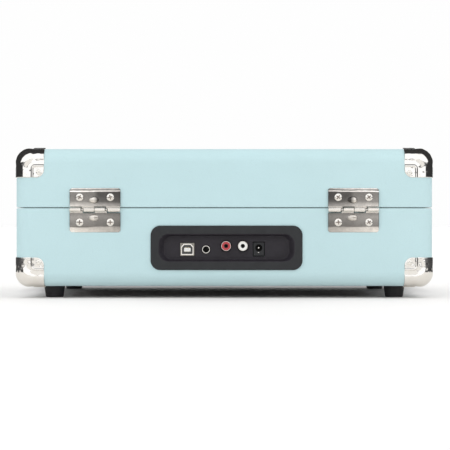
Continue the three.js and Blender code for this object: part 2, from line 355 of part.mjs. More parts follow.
// cue lever on the arm base, and the lifter bar it raises under the arm
add("cue_lever", join(rodX(1.5, QX + 0.5, QX + 12, QY, QZ, 10), rodX(3.0, QX + 8.6, QX + 12.6, QY, QZ, 12), box(QX + 8.6, QX + 12.6, QY - 28, QY, QZ - 1.4, QZ + 1.4), box(QX + 7.6, QX + 13.6, QY - 34, QY - 26, QZ - 2, QZ + 1.4)), BLACK, 0.4, 0);
{
  const a0 = -0.12, a1 = 0.92, arc = new THREE.Shape(), n = 12;
  const pt = (r, a) => [-r * Math.sin(a), -r * Math.cos(a)];
  for (let i = 0; i <= n; i++) { const p = pt(35.6, a0 + ((a1 - a0) * i) / n); i ? arc.lineTo(...p) : arc.moveTo(...p); }
  for (let i = n; i >= 0; i--) arc.lineTo(...pt(32.4, a0 + ((a1 - a0) * i) / n));
  add("cue_lifter", moved(upright(arc, 85.6, 88.3), PX, PY, 0).add(rod(2.5, 67, 86, [CX, CY], 10)), BLACK, 0.6, 0);
}
// arm rest with a swinging clip
const RY = -20;
let rest = join(turned([[0, 68.3], [8, 68.3], [8, 70], [4, 71.5], [4, 86], [0, 86]], 18, [PX + 2, RY, 0]), box(PX - 6, PX + 8, RY - 4.6, RY + 4.6, 85.6, 88.5), box(PX + 4.2, PX + 8, RY - 4.6, RY + 4.6, 88, 95.4));
for (const s of [-1, 1]) rest = rest.add(box(PX + 4.2, PX + 8, RY + s * 3.9 - 0.7, RY + s * 3.9 + 0.7, 95, 99.4));
add("arm_rest", rest.subtract(rodY(1.3, RY - 6, RY + 6, PX + 6.1, 97.4, 8)), BLACK, 0.45, 0);
add("rest_clip", join(rodY(1.7, RY - 2.8, RY + 2.8, PX + 6.1, 97.4, 12), rodY(0.95, RY - 4.6, RY + 4.6, PX + 6.1, 97.4, 8), box(PX + 5.1, PX + 7.1, RY - 2.6, RY + 2.6, 97.4, 108), box(PX + 4.1, PX + 7.1, RY - 2.6, RY + 2.6, 107, 110)), BLACK, 0.4, 0);

// adapter, knobs and sliders
add("adapter_45", turned([[3.8, DECK_Z - 1.7], [19, DECK_Z - 1.7], [19, 71], [17.5, 72.5], [9, 72.5], [8, 71.2], [5.2, 71.2], [3.8, 72]], 20, [AX, AY, 0]), 0xd8d6d0, 0.4, 0);
const knob = (r, h, y) => turned([[0, 61.2], [3, 61.2], [3, 68.4], [r, 68.4], [r, 68.4 + h - 1.5], [r - 1.4, 68.4 + h], [0, 68.4 + h]], 18, [KX, y, 0]).subtract(box(KX - 0.5, KX + 0.5, y - r - 1, y - r + 4, 68.4 + h - 1, 80));
add("volume_knob", knob(11, 9.5, KY1), BLACK, 0.35, 0);
add("source_knob", knob(8.5, 8.5, KY2), BLACK, 0.35, 0);
add("speed_slider", join(box(LX - 1.7, LX + 1.7, SPEED_Y - 2.6, SPEED_Y + 2.6, 61.2, 70), box(LX - 4.5, LX + 4.5, SPEED_Y - 3.2, SPEED_Y + 3.2, DECK_Z + 0.4, 72), box(LX - 3.6, LX + 3.6, SPEED_Y - 1, SPEED_Y + 1, 71.5, 75)), BLACK, 0.4, 0);
add("autostop_slider", join(box(LX - 1.3, LX + 1.3, STOP_Y - 2, STOP_Y + 2, 61.2, 70), box(LX - 3.4, LX + 3.4, STOP_Y - 2.8, STOP_Y + 2.8, DECK_Z + 0.4, 71.5)), BLACK, 0.4, 0);

// leads held inside the base: from the board along the floor to one loudspeaker
{
  const y0 = -D2 + WALL + 0.3 + 25.4;
  const path = new THREE.CatmullRomCurve3([[-6, 69.4, 31], [-7, 62, 27], [-14, 46, 19], [-40, 10, 18.2], [-80, -40, 18.2], [-112, -72, 22], [-123.4, -86, 37], [-SPEAKER_X, y0, SPEAKER_Z + 1]].map((p) => new THREE.Vector3(...p)));
  const ring = new THREE.Shape(Array.from({ length: 8 }, (_, i) => new THREE.Vector2(1.8 * Math.cos((Math.PI * i) / 4), 1.8 * Math.sin((Math.PI * i) / 4))));
  add("speaker_lead", solid(new THREE.ExtrudeGeometry(ring, { steps: 26, extrudePath: path })), 0x1b1b1d, 0.6, 0);
}

group.position.y = SHIFT_Y;
const record_player = new THREE.Group();
record_player.name = "suitcase_record_player";
record_player.add(group);
export default record_player;
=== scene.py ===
import math
import random

import bmesh
import bpy
import numpy as np
from mathutils import Matrix, Vector


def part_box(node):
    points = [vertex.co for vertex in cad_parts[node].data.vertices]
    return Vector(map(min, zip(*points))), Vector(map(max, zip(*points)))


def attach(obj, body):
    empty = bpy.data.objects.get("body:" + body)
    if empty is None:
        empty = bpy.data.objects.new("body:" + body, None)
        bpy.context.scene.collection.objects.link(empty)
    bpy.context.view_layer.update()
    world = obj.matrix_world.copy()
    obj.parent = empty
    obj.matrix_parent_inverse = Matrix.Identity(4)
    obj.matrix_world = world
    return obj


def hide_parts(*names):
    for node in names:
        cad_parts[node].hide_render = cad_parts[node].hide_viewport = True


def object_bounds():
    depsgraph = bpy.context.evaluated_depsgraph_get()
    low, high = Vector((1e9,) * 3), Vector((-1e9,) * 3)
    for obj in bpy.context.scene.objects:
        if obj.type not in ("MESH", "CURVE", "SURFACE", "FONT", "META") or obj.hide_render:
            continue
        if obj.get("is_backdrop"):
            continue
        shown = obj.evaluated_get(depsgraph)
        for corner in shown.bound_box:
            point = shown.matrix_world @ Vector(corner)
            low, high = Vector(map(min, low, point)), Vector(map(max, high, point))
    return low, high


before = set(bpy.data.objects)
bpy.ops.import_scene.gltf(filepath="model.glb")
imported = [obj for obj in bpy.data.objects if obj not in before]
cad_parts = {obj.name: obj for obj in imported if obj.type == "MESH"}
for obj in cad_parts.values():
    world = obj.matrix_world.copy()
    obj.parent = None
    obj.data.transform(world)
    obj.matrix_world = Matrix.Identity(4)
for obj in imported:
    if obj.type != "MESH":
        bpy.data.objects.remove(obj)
cad_lo, cad_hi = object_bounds()
random.seed(7)

# ------------------------------------------------------------------ the case's own frame, in millimetres
_lo, _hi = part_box("base_case")
DY = (_lo.y + _hi.y) / 2 * 1000  # the case's middle, along Y, in the row frame
W2, D2 = (_hi.x - _lo.x) / 2 * 1000, (_hi.y - _lo.y) / 2 * 1000
Z0, ZB = _lo.z * 1000, _hi.z * 1000  # underside and rim of the base
_lo, _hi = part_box("lid_case")
ZL, ZT = _lo.z * 1000, _hi.z * 1000  # rim and top of the lid
R0 = 12.0

# ------------------------------------------------------------------ camera: level, straight at the back
cam_data = bpy.data.cameras.new("camera")
cam = bpy.data.objects.new("camera", cam_data)
bpy.context.scene.collection.objects.link(cam)
cam_data.lens, cam_data.sensor_width = 137.3, 36.0
cam_data.clip_start, cam_data.clip_end = 0.05, 200.0
cam.location = (-0.0006, (D2 + DY + 1435.0) / 1000, 0.0614)
cam.rotation_euler = (math.radians(90), 0, math.radians(180))
bpy.context.scene.camera = cam
bpy.context.scene.view_settings.view_transform = "Standard"
bpy.context.scene.view_settings.look = "None"

# ------------------------------------------------------------------ geometry helpers (millimetres, case frame)
rad = math.radians


class Geo:
    """Vertices, faces and material numbers of one piece."""

    def __init__(self):
        self.v, self.f, self.m = [], [], []

    def add(self, geo, m=0, t=None):
        verts, faces = geo
        o = len(self.v)
        self.v += [t(p) for p in verts] if t else [tuple(p) for p in verts]
        self.f += [[i + o for i in f] for f in faces]
        self.m += [m] * len(faces) if isinstance(m, int) else list(m)
        return self


def xz(p):  # drawn flat in x, z with depth along y
    return (p[0], p[2], p[1])


def yz(p):  # drawn flat in y, z with depth along x
    return (p[2], p[0], p[1])


def shift(dx=0.0, dy=0.0, dz=0.0, pre=None):
    def f(p):
        p = pre(p) if pre else p
        return (p[0] + dx, p[1] + dy, p[2] + dz)
    return f


def spun(angle, axis="z", about=(0, 0, 0), pre=None):
    m = Matrix.Rotation(rad(angle), 3, axis.upper())
    a = Vector(about)

    def f(p):
        p = Vector(pre(p) if pre else p)
        return tuple(m @ (p - a) + a)
    return f


def rings(loops, cap0=True, cap1=True, closed=False):
    """Joins loops of equally many points into a skin."""
    n, v, f = len(loops[0]), [], []
    for loop in loops:
        v += loop
    k = len(loops)
    for i in range(k if closed else k - 1):
        a, b = i * n, ((i + 1) % k) * n
        for j in range(n):
            j2 = (j + 1) % n
            f.append([a + j, a + j2, b + j2, b + j])
    if not closed:
        if cap0:
            f.append(list(range(n)))
        if cap1:
            f.append([(k - 1) * n + j for j in range(n)])
    return v, f


def plan(w, h, r, z, n=6, cx=0.0, cy=0.0, support=0.4):
    """A rounded rectangle as a loop, with a support point beside each arc so that flats stay flat."""
    r = max(min(r, w / 2, h / 2), 0.0)
    s = min(support, (w / 2 - r) * 0.5, (h / 2 - r) * 0.5)
    out = []
    for sx, sy, a0 in ((1, 1, 0), (-1, 1, 90), (-1, -1, 180), (1, -1, 270)):
        ox, oy = cx + sx * (w / 2 - r), cy + sy * (h / 2 - r)
        pts = [(ox + r * math.cos(rad(a0 + 90 * i / n)), oy + r * math.sin(rad(a0 + 90 * i / n)), z) for i in range(n + 1)]
        d0 = (-math.sin(rad(a0)), math.cos(rad(a0)))
        d1 = (-math.sin(rad(a0 + 90)), math.cos(rad(a0 + 90)))
        out.append((pts[0][0] - d0[0] * s, pts[0][1] - d0[1] * s, z))
        out += pts
        out.append((pts[-1][0] + d1[0] * s, pts[-1][1] + d1[1] * s, z))
    return out


def loft(w, h, r, profile, n=6, cx=0.0, cy=0.0, cap0=True, cap1=True, support=0.4):
    """Rounded rectangles stacked along z: profile is (inset, z)."""
    return rings([plan(w - 2 * d, h - 2 * d, r - d, z, n, cx, cy, support) for d, z in profile], cap0, cap1)


def soften(pts, r, seg=3, closed=True):
    """Rounds the corners of an outline or a profile. r is one radius or one for each point."""
    n, out = len(pts), []
    rs = r if hasattr(r, "__len__") else [r] * n
    for i, p in enumerate(pts):
        if (not closed and i in (0, n - 1)) or rs[i] <= 0:
            out.append(tuple(p))
            continue
        a, b, c = Vector(pts[i - 1][:2]), Vector(p[:2]), Vector(pts[(i + 1) % n][:2])
        u, v = (a - b), (c - b)
        if u.length < 1e-6 or v.length < 1e-6:
            out.append(tuple(p))
            continue
        un, vn = u.normalized(), v.normalized()
        ang = math.acos(max(-1, min(1, un.dot(vn))))
        if ang > rad(178):
            out.append(tuple(p))
            continue
        t = min(rs[i] / math.tan(ang / 2), u.length * 0.48, v.length * 0.48)
        rr = t * math.tan(ang / 2)
        cen = b + (un + vn).normalized() * (rr / math.sin(ang / 2))
        s, e = b + un * t - cen, b + vn * t - cen
        a0, a1 = math.atan2(s.y, s.x), math.atan2(e.y, e.x)
        d = (a1 - a0 + math.pi) % (2 * math.pi) - math.pi
        for k in range(seg + 1):
            q = a0 + d * k / seg
            out.append((cen.x + rr * math.cos(q), cen.y + rr * math.sin(q)))
    return out


def lathe(profile, n=48, at=(0, 0, 0), closed=True, wobble=None):
    """A profile of (radius, z) turned about z. On the axis the radius is 0."""
    loops = []
    for r, z in profile:
        ring = []
        for j in range(n):
            a = 2 * math.pi * j / n
            rr = r if wobble is None else r + wobble(r, z, a)
            ring.append((at[0] + rr * math.cos(a), at[1] + rr * math.sin(a), at[2] + z))
        loops.append(ring)
    if closed and profile[0][0] > 1e-6 and profile[-1][0] > 1e-6:
        return rings(loops, closed=True)
    return rings(loops, cap0=profile[0][0] > 1e-6, cap1=profile[-1][0] > 1e-6)


def turned(profile, r=0.3, n=48, at=(0, 0, 0), seg=3, t=None, wobble=None):
    """A lathe whose profile's corners off the axis are rounded."""
    on_axis = profile[0][0] < 1e-6
    g = lathe(soften(profile, [0 if p[0] < 1e-6 else r for p in profile] if not hasattr(r, "__len__") else r, seg, not on_axis), n, (0, 0, 0), wobble=wobble)
    f = shift(*at)
    return [f(t(p) if t else p) for p in g[0]], g[1]


def rbox(x0, x1, y0, y1, z0, z1, r=0.4, n=3):
    w, h = x1 - x0, y1 - y0
    r = min(r, w / 2.01, h / 2.01, (z1 - z0) / 2.01)
    arc = [(r - r * math.sin(rad(90 * i / n)), z0 + r - r * math.cos(rad(90 * i / n))) for i in range(n + 1)]
    arc2 = [(d, z1 - (z - z0)) for d, z in reversed(arc)]
    return loft(w, h, r, arc + arc2, n, (x0 + x1) / 2, (y0 + y1) / 2, support=min(0.4, r))


def circle(r, n=32, cx=0.0, cy=0.0, a0=0.0):
    return [(cx + r * math.cos(a0 + 2 * math.pi * i / n), cy + r * math.sin(a0 + 2 * math.pi * i / n)) for i in range(n)]


def rrect(w, h, r, n=5, cx=0.0, cy=0.0):
    return [(x, y) for x, y, _ in plan(w, h, r, 0, n, cx, cy, 0.0)]


def plate2d(loops, lo, hi, bevel=0.3, res=2):
    """A flat plate with holes and rounded rims, thickness along z from lo to hi."""
    cu = bpy.data.curves.new("tmp", "CURVE")
    cu.dimensions, cu.fill_mode = "2D", "BOTH"
    for loop in loops:
        sp = cu.splines.new("POLY")
        sp.points.add(len(loop) - 1)
        for q, p in zip(sp.points, loop):
            q.co = (p[0], p[1], 0, 1)
        sp.use_cyclic_u = True
    cu.extrude, cu.bevel_depth, cu.bevel_resolution, cu.offset = (hi - lo) / 2 - bevel, bevel, res, -bevel
    ob = bpy.data.objects.new("tmp", cu)
    bpy.context.scene.collection.objects.link(ob)
    bpy.context.view_layer.update()
    me = bpy.data.meshes.new_from_object(ob.evaluated_get(bpy.context.evaluated_depsgraph_get()))
    v = [(q.co.x, q.co.y, q.co.z + (lo + hi) / 2) for q in me.vertices]
    f = [list(p.vertices) for p in me.polygons]
    bpy.data.meshes.remove(me)
    bpy.data.objects.remove(ob)
    bpy.data.curves.remove(cu)
    return v, f


def frames(path):
    """Points, tangents, normals and binormals along a path, turning as little as possible."""
    p = [Vector(q) for q in path]
    t = [((p[min(i + 1, len(p) - 1)] - p[max(i - 1, 0)])).normalized() for i in range(len(p))]
    up = Vector((0, 0, 1)) if abs(t[0].z) < 0.9 else Vector((0, 1, 0))
    nrm = (up - up.dot(t[0]) * t[0]).normalized()
    out = []
    for i in range(len(p)):
        if i:
            nrm = t[i - 1].rotation_difference(t[i]) @ nrm
            nrm = (nrm - nrm.dot(t[i]) * t[i]).normalized()
        out.append((p[i], t[i], nrm, t[i].cross(nrm)))
    return out


def sweep(path, section, scale=None, cap=True):
    """section is a loop of (a, b) along the normal and binormal."""
    loops = []
    fr = frames(path)
    for i, (p, t, n, b) in enumerate(fr):
        k = scale(i / (len(fr) - 1)) if scale else (1, 1)
        if not hasattr(k, "__len__"):
            k = (k, k)
        loops.append([tuple(p + n * (a * k[0]) + b * (c * k[1])) for a, c in section])
    return rings(loops, cap, cap)


def smooth_path(pts, per=8):
    """A Catmull-Rom curve through the points."""
    p = [Vector(q) for q in pts]
    p = [2 * p[0] - p[1]] + p + [2 * p[-1] - p[-2]]
    out = []
    for i in range(1, len(p) - 2):
        for k in range(per):
            t = k / per
            a, b, c, d = p[i - 1], p[i], p[i + 1], p[i + 2]
            out.append(tuple(0.5 * ((2 * b) + (c - a) * t + (2 * a - 5 * b + 4 * c - d) * t * t + (3 * b - a - 3 * c + d) * t ** 3)))
    out.append(tuple(p[-2]))
    return out


def make(name, geo, mats, body, replaces=(), angle=38, mods=()):
    """One shown piece, in metres in the row frame."""
    if isinstance(geo, tuple):
        geo = Geo().add(geo)
    me = bpy.data.meshes.new(name)
    me.from_pydata([(x / 1000, (y + DY) / 1000, z / 1000) for x, y, z in geo.v], [], geo.f)
    mats = mats if isinstance(mats, (list, tuple)) else [mats]
    for m in mats:
        me.materials.append(m)
    me.polygons.foreach_set("material_index", geo.m)
    bm = bmesh.new()
    bm.from_mesh(me)
    bmesh.ops.remove_doubles(bm, verts=bm.verts, dist=1.5e-6)
    bmesh.ops.dissolve_degenerate(bm, dist=1e-7, edges=bm.edges)
    loose = [v for v in bm.verts if not v.link_faces]
    bmesh.ops.delete(bm, geom=loose, context="VERTS")
    bmesh.ops.recalc_face_normals(bm, faces=bm.faces)
    bm.to_mesh(me)
    bm.free()
    me.shade_smooth()
    me.set_sharp_from_angle(angle=rad(angle))
    ob = bpy.data.objects.new(name, me)
    bpy.context.scene.collection.objects.link(ob)
    if replaces:
        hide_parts(*([replaces] if isinstance(replaces, str) else replaces))
    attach(ob, body)
    return ob


def bake_boolean(ob, cutter_geo, op="DIFFERENCE", angle=38):
    """Cuts a piece with another solid and keeps the result as its mesh."""
    me = bpy.data.meshes.new("cut")
    me.from_pydata([(x / 1000, (y + DY) / 1000, z / 1000) for x, y, z in cutter_geo[0]], [], cutter_geo[1])
    bm = bmesh.new()
    bm.from_mesh(me)
    bmesh.ops.remove_doubles(bm, verts=bm.verts, dist=1.5e-6)
    bmesh.ops.recalc_face_normals(bm, faces=bm.faces)
    bm.to_mesh(me)
    bm.free()
    c = bpy.data.objects.new("cut", me)
    bpy.context.scene.collection.objects.link(c)
    mod = ob.modifiers.new("cut", "BOOLEAN")
    mod.object, mod.operation, mod.solver = c, op, "EXACT"
    bpy.context.view_layer.update()
    new = bpy.data.meshes.new_from_object(ob.evaluated_get(bpy.context.evaluated_depsgraph_get()))
    ob.modifiers.remove(mod)
    old, ob.data = ob.data, new
    new.name = old.name
    bpy.data.meshes.remove(old)
    bpy.data.objects.remove(c)
    bpy.data.meshes.remove(me)
    ob.data.shade_smooth()
    ob.data.set_sharp_from_angle(angle=rad(angle))
    return ob


# ------------------------------------------------------------------ materials
class Mat:
    """A procedural material: noise, cells and bump about one Principled shader."""

    def __init__(self, name, **inputs):
        self.m = bpy.data.materials.new(name)
        self.m.use_nodes = True
        self.nt = self.m.node_tree
        self.b = self.nt.nodes["Principled BSDF"]
        self.tc = self.nt.nodes.new("ShaderNodeTexCoord")
        for k, v in inputs.items():
            self.b.inputs[k.replace("_", " ")].default_value = v

    def n(self, kind, props=None, **inputs):
        node = self.nt.nodes.new("ShaderNode" + kind)
        for k, v in (props or {}).items():
            setattr(node, k, v)
        for k, v in inputs.items():
            self.put(v, node.inputs[int(k[1:])] if k[0] == "i" and k[1:].isdigit() else node.inputs[k.replace("_", " ")])
        return node

    def put(self, v, socket):
        if isinstance(v, bpy.types.NodeSocket):
            self.nt.links.new(v, socket)
        elif isinstance(v, bpy.types.Node):
            self.nt.links.new(v.outputs[0], socket)
        else:
            socket.default_value = v

    @property
    def obj(self):
        return self.tc.outputs["Object"]

    def stretch(self, sx, sy, sz, rot=(0, 0, 0)):
        return self.n("Mapping", Vector=self.obj, Scale=(sx, sy, sz), Rotation=rot).outputs[0]

    def noise(self, scale, detail=4.0, rough=0.55, vec=None, dist=0.0):
        return self.n("TexNoise", Vector=vec or self.obj, Scale=scale, Detail=detail, Roughness=rough, Distortion=dist).outputs["Fac"]

    def cells(self, scale, feature="F1", vec=None, rnd=1.0, smooth=0.4):
        k = {"Vector": vec or self.obj, "Scale": scale, "Randomness": rnd}
        if feature == "SMOOTH_F1":
            k["Smoothness"] = smooth
        return self.n("TexVoronoi", {"feature": feature}, **k).outputs["Distance"]

    def ramp(self, fac, stops, interp="LINEAR"):
        r = self.n("ValToRGB", Fac=fac)
        r.color_ramp.interpolation = interp
        e = r.color_ramp.elements
        while len(e) < len(stops):
            e.new(0.5)
        for el, (p, c) in zip(e, stops):
            el.position = p
            el.color = (c, c, c, 1) if not hasattr(c, "__len__") else (*c[:3], 1)
        return r.outputs["Color"]

    def mapr(self, v, a, b, c, d):
        return self.n("MapRange", i0=v, i1=a, i2=b, i3=c, i4=d).outputs[0]

    def math(self, op, a, b=0.0, clamp=False):
        return self.n("Math", {"operation": op, "use_clamp": clamp}, i0=a, i1=b).outputs[0]

    def mix(self, fac, a, b, blend="MIX"):
        x = self.n("Mix", {"data_type": "RGBA", "blend_type": blend})
        self.put(fac, x.inputs[0])
        self.put(a if not isinstance(a, tuple) else (*a[:3], 1), x.inputs[6])
        self.put(b if not isinstance(b, tuple) else (*b[:3], 1), x.inputs[7])
        return x.outputs[2]

    def bump(self, height, strength, distance, normal=None):
        k = {"Height": height, "Strength": strength, "Distance": distance}
        if normal is not None:
            k["Normal"] = normal
        return self.n("Bump", **k).outputs[0]

    def set(self, **kw):
        for k, v in kw.items():
            self.put(v, self.b.inputs[k.replace("_", " ")])
        return self.m


def srgb(r, g, b):
    return tuple(((c / 255) / 12.92 if c / 255 <= 0.04045 else ((c / 255 + 0.055) / 1.055) ** 2.4) for c in (r, g, b))


def leatherette(name, base, scale=1.0, worn=0.0, rough=(0.40, 0.56)):
    m = Mat(name)
    m.b.inputs["Specular IOR Level"].default_value = 0.42
    cells = m.cells(820 * scale, "SMOOTH_F1", smooth=0.35)
    creases = m.cells(820 * scale, "DISTANCE_TO_EDGE")
    fine = m.noise(3400 * scale, 3, 0.6)
    cloud = m.noise(24, 3, 0.5)
    broad = m.noise(6.0, 2, 0.5)
    pebble = m.math("SUBTRACT", 1.0, m.math("POWER", cells, 1.6))
    crease = m.mapr(creases, 0.0, 0.12, 0.0, 1.0)
    h = m.math("ADD", m.math("MULTIPLY", pebble, 0.8), m.math("MULTIPLY", crease, 0.35))
    h = m.math("ADD", h, m.math("MULTIPLY", fine, 0.25))
    dark = tuple(c * 0.93 for c in base)
    light = tuple(min(c * 1.035, 1) for c in base)
    col = m.mix(m.mapr(cloud, 0.3, 0.7, 0.0, 1.0), tuple(c * 0.985 for c in base), light)
    col = m.mix(m.mapr(broad, 0.35, 0.65, 0.0, 0.5), col, tuple(c * k for c, k in zip(base, (0.965, 0.985, 1.0))))
    # painted shade: the creases of the grain a little darker
    col = m.mix(m.mapr(crease, 0.0, 0.8, 0.55, 0.0), col, dark)
    grey = sum(base) / 3
    col = m.mix(m.n("LightPath").outputs["Is Diffuse Ray"], col, (grey, grey, grey))
    r = m.mapr(m.noise(60, 3, 0.6), 0.25, 0.75, rough[0], rough[1])
    bump = m.bump(h, 0.34, 0.00007)
    bump = m.bump(m.noise(9.0, 2, 0.5), 0.10, 0.0012, bump)
    return m.set(Base_Color=col, Roughness=r, Normal=bump)


def chrome(name, base=(0.93, 0.92, 0.905), rough=(0.035, 0.10), wave=0.05, wave_scale=70, scratch=0.05):
    m = Mat(name, Metallic=1.0)
    cl = m.noise(150, 4, 0.6)
    streak = m.noise(1.0, 4, 0.7, vec=m.stretch(220, 2600, 900))
    col = m.mix(m.mapr(cl, 0.3, 0.7, 0, 1), base, tuple(c * k for c, k in zip(base, (0.955, 0.945, 0.93))))
    r = m.mapr(m.math("ADD", m.math("MULTIPLY", cl, 0.6), m.math("MULTIPLY", streak, 0.4)), 0.3, 0.7, rough[0], rough[1])
    b = m.bump(m.noise(wave_scale, 2, 0.45), wave, 0.002)
    b = m.bump(streak, scratch, 0.00002, b)
    return m.set(Base_Color=col, Roughness=r, Normal=b)


def satin_metal(name, base, dark, rough=(0.22, 0.38), grain=(60, 900, 2400), cloud=90, wave=0.06, bump=0.12):
    m = Mat(name, Metallic=1.0)
    brush = m.noise(1.0, 5, 0.65, vec=m.stretch(*grain))
    cl = m.noise(cloud, 4, 0.6, dist=0.4)
    fac = m.math("ADD", m.math("MULTIPLY", brush, 0.45), m.math("MULTIPLY", cl, 0.55))
    col = m.mix(m.mapr(fac, 0.34, 0.66, 0, 1), dark, base)
    r = m.mapr(fac, 0.3, 0.7, rough[1], rough[0])
    b = m.bump(brush, bump, 0.00003)
    b = m.bump(m.noise(55, 2, 0.5), wave, 0.0016, b)
    return m.set(Base_Color=col, Roughness=r, Normal=b)


def plastic(name, base, rough=(0.38, 0.52), tex=3000, bump=0.2, dist=0.00004, vary=0.12, spec=0.5, coat=0.0, cells=False):
    m = Mat(name)
    m.b.inputs["Specular IOR Level"].default_value = spec
    if coat:
        m.b.inputs["Coat Weight"].default_value = coat
        m.b.inputs["Coat Roughness"].default_value = 0.12
    t = m.cells(tex, "SMOOTH_F1") if cells else m.noise(tex, 3, 0.6)
    cl = m.noise(90, 4, 0.6)
    col = m.mix(m.mapr(cl, 0.3, 0.7, 0, 1), tuple(c * (1 - vary) for c in base), tuple(min(1, c * (1 + vary)) for c in base))
    col = m.mix(m.mapr(t, 0.3, 0.75, 0.0, 0.25), col, tuple(min(1, c * 1.35 + 0.004) for c in base))
    r = m.mapr(m.noise(240, 4, 0.6), 0.3, 0.7, rough[0], rough[1])
    return m.set(Base_Color=col, Roughness=r, Normal=m.bump(t, bump, dist))


def woven(name, base, dark, pitch=0.9, bump=0.5):
    m = Mat(name)
    m.b.inputs["Sheen Weight"].default_value = 0.25
    m.b.inputs["Sheen Roughness"].default_value = 0.5
    k = 2 * math.pi / (pitch / 1000)
    sx = m.n("SeparateXYZ", Vector=m.obj)
    warp = m.math("MULTIPLY", m.noise(300, 2, 0.5), 1.5)
    a = m.math("SINE", m.math("ADD", m.math("MULTIPLY", m.math("ADD", sx.outputs[0], sx.outputs[2]), k), warp))
    b = m.math("SINE", m.math("ADD", m.math("MULTIPLY", m.math("ADD", sx.outputs[1], sx.outputs[2]), k), warp))
    h = m.math("MULTIPLY", m.math("ADD", a, b), 0.25)
    h = m.math("ADD", h, m.math("MULTIPLY", m.noise(2600, 3, 0.7), 0.35))
    col = m.mix(m.mapr(h, -0.3, 0.6, 0, 1), dark, base)
    return m.set(Base_Color=col, Roughness=m.mapr(h, -0.4, 0.6, 0.95, 0.75), Normal=m.bump(h, bump, 0.00012))


BLUE = (0.500, 0.682, 0.708)
M_LEATHER = leatherette("leatherette_pale_blue", BLUE)
M_LEATHER_HANDLE = leatherette("leatherette_handle", tuple(c * 0.97 for c in BLUE), 1.25)
M_CHROME = chrome("chrome_corner", (0.93, 0.92, 0.905), (0.03, 0.08), 0.02, 60, 0.01)
M_CHROME_LATCH = chrome("chrome_latch", (0.86, 0.85, 0.83), (0.07, 0.16), 0.03, 50, 0.10)
M_NAIL = chrome("chrome_nail", (0.88, 0.87, 0.84), (0.06, 0.14), 0.02, 120, 0.04)
M_SCREW = chrome("screw_nickel", (0.90, 0.88, 0.85), (0.13, 0.24), 0.03, 200, 0.08)
# painted shade: the cross recesses of the screws get a darker, browner metal
M_RECESS_SHADE = satin_metal("screw_recess_painted_shade", (0.36, 0.31, 0.28), (0.22, 0.19, 0.17), (0.3, 0.45), (900, 900, 900), 300, 0.03)


def hinge_metal():
    """Rolled nickel with streaked fields. Light and shade are painted in bands of height as painted reflections: bright
    at the folds, darker in the fields between them.
    """
    m = Mat("hinge_nickel", Metallic=1.0)
    sep = m.n("SeparateXYZ", Vector=m.obj)
    warp = m.noise(1.0, 3, 0.6, vec=m.stretch(45, 300, 160))
    fine = m.noise(1.0, 5, 0.7, vec=m.stretch(900, 900, 2600, (0, rad(38), 0)))
    cloud = m.noise(210, 4, 0.6)
    z = m.math("ADD", sep.outputs[2], m.mapr(warp, 0.3, 0.7, -0.0005, 0.0005))
    # painted reflections: a light or dark grey listed for each height on the leaf
    stops = [(54.9, 0.62), (55.8, 0.74), (58.9, 0.66), (59.7, 0.50), (60.2, 0.13), (63.0, 0.15), (68.3, 0.24), (70.6, 0.16), (72.2, 0.14), (76.6, 0.62), (78.6, 0.44), (81.0, 0.17), (86.0, 0.12), (88.9, 0.12), (89.3, 0.95), (90.0, 0.90), (90.3, 0.16), (91.2, 0.30), (91.8, 0.85), (92.6, 0.7)]
    lo, hi = 54.9, 92.6
    col = m.ramp(m.mapr(z, lo / 1000, hi / 1000, 0, 1), [((q - lo) / (hi - lo), (c, c * 0.955, c * 0.915)) for q, c in stops])
    # painted side light: each leaf lighter towards its outer end, darker towards the middle of the case
    painted_side_brightness = m.mapr(m.math("ABSOLUTE", sep.outputs[0]), 0.088, 0.129, 0.72, 1.35)
    col = m.mix(1.0, col, m.n("CombineColor", i0=painted_side_brightness, i1=painted_side_brightness, i2=painted_side_brightness).outputs[0], "MULTIPLY")
    grain = m.math("ADD", m.math("MULTIPLY", fine, 0.5), m.math("MULTIPLY", cloud, 0.5))
    g = m.mapr(grain, 0.33, 0.67, 0.74, 1.22)
    col = m.mix(1.0, col, m.n("CombineColor", i0=g, i1=g, i2=g).outputs[0], "MULTIPLY")
    # painted highlight and shade on the raised parts of the leaf, most on the dimples: near black, bright towards the
    # outer side and the lower end
    lift = m.mapr(sep.outputs[1], (D2 + DY + 1.35) / 1000, (D2 + DY + 2.3) / 1000, 0, 1)
    outer = m.mapr(m.math("ABSOLUTE", sep.outputs[0]), 0.1056, 0.1090, 0, 1)
    low = m.mapr(sep.outputs[2], 0.0752, 0.0728, 0, 0.8)
    raised_painted_light_and_shade = m.mix(m.math("MAXIMUM", outer, low), (0.055, 0.052, 0.05), (0.86, 0.82, 0.77))
    col = m.mix(m.math("MULTIPLY", lift, m.mapr(m.noise(260, 3, 0.6), 0.3, 0.7, 0.78, 0.98)), col, raised_painted_light_and_shade)
    b = m.bump(fine, 0.10, 0.00003)
    b = m.bump(m.noise(60, 2, 0.5), 0.05, 0.0014, b)
    return m.set(Base_Color=col, Roughness=m.mapr(grain, 0.3, 0.7, 0.24, 0.13), Normal=b)


M_HINGE = hinge_metal()
M_KNUCKLE = satin_metal("hinge_knuckle_nickel", (0.88, 0.85, 0.81), (0.74, 0.71, 0.67), (0.18, 0.28), (40, 3000, 3000), 120, 0.03)
M_PIN = satin_metal("pin_steel", (0.70, 0.69, 0.67), (0.5, 0.49, 0.48), (0.2, 0.3), (40, 3000, 3000))
M_STEEL = satin_metal("steel_turned", (0.72, 0.72, 0.71), (0.56, 0.56, 0.55), (0.14, 0.26), (2400, 2400, 90))
M_TRAY = plastic("tray_plastic", (0.0205, 0.0220, 0.0245), (0.44, 0.60), 2600, 0.30, 0.00005, 0.10, 0.30)
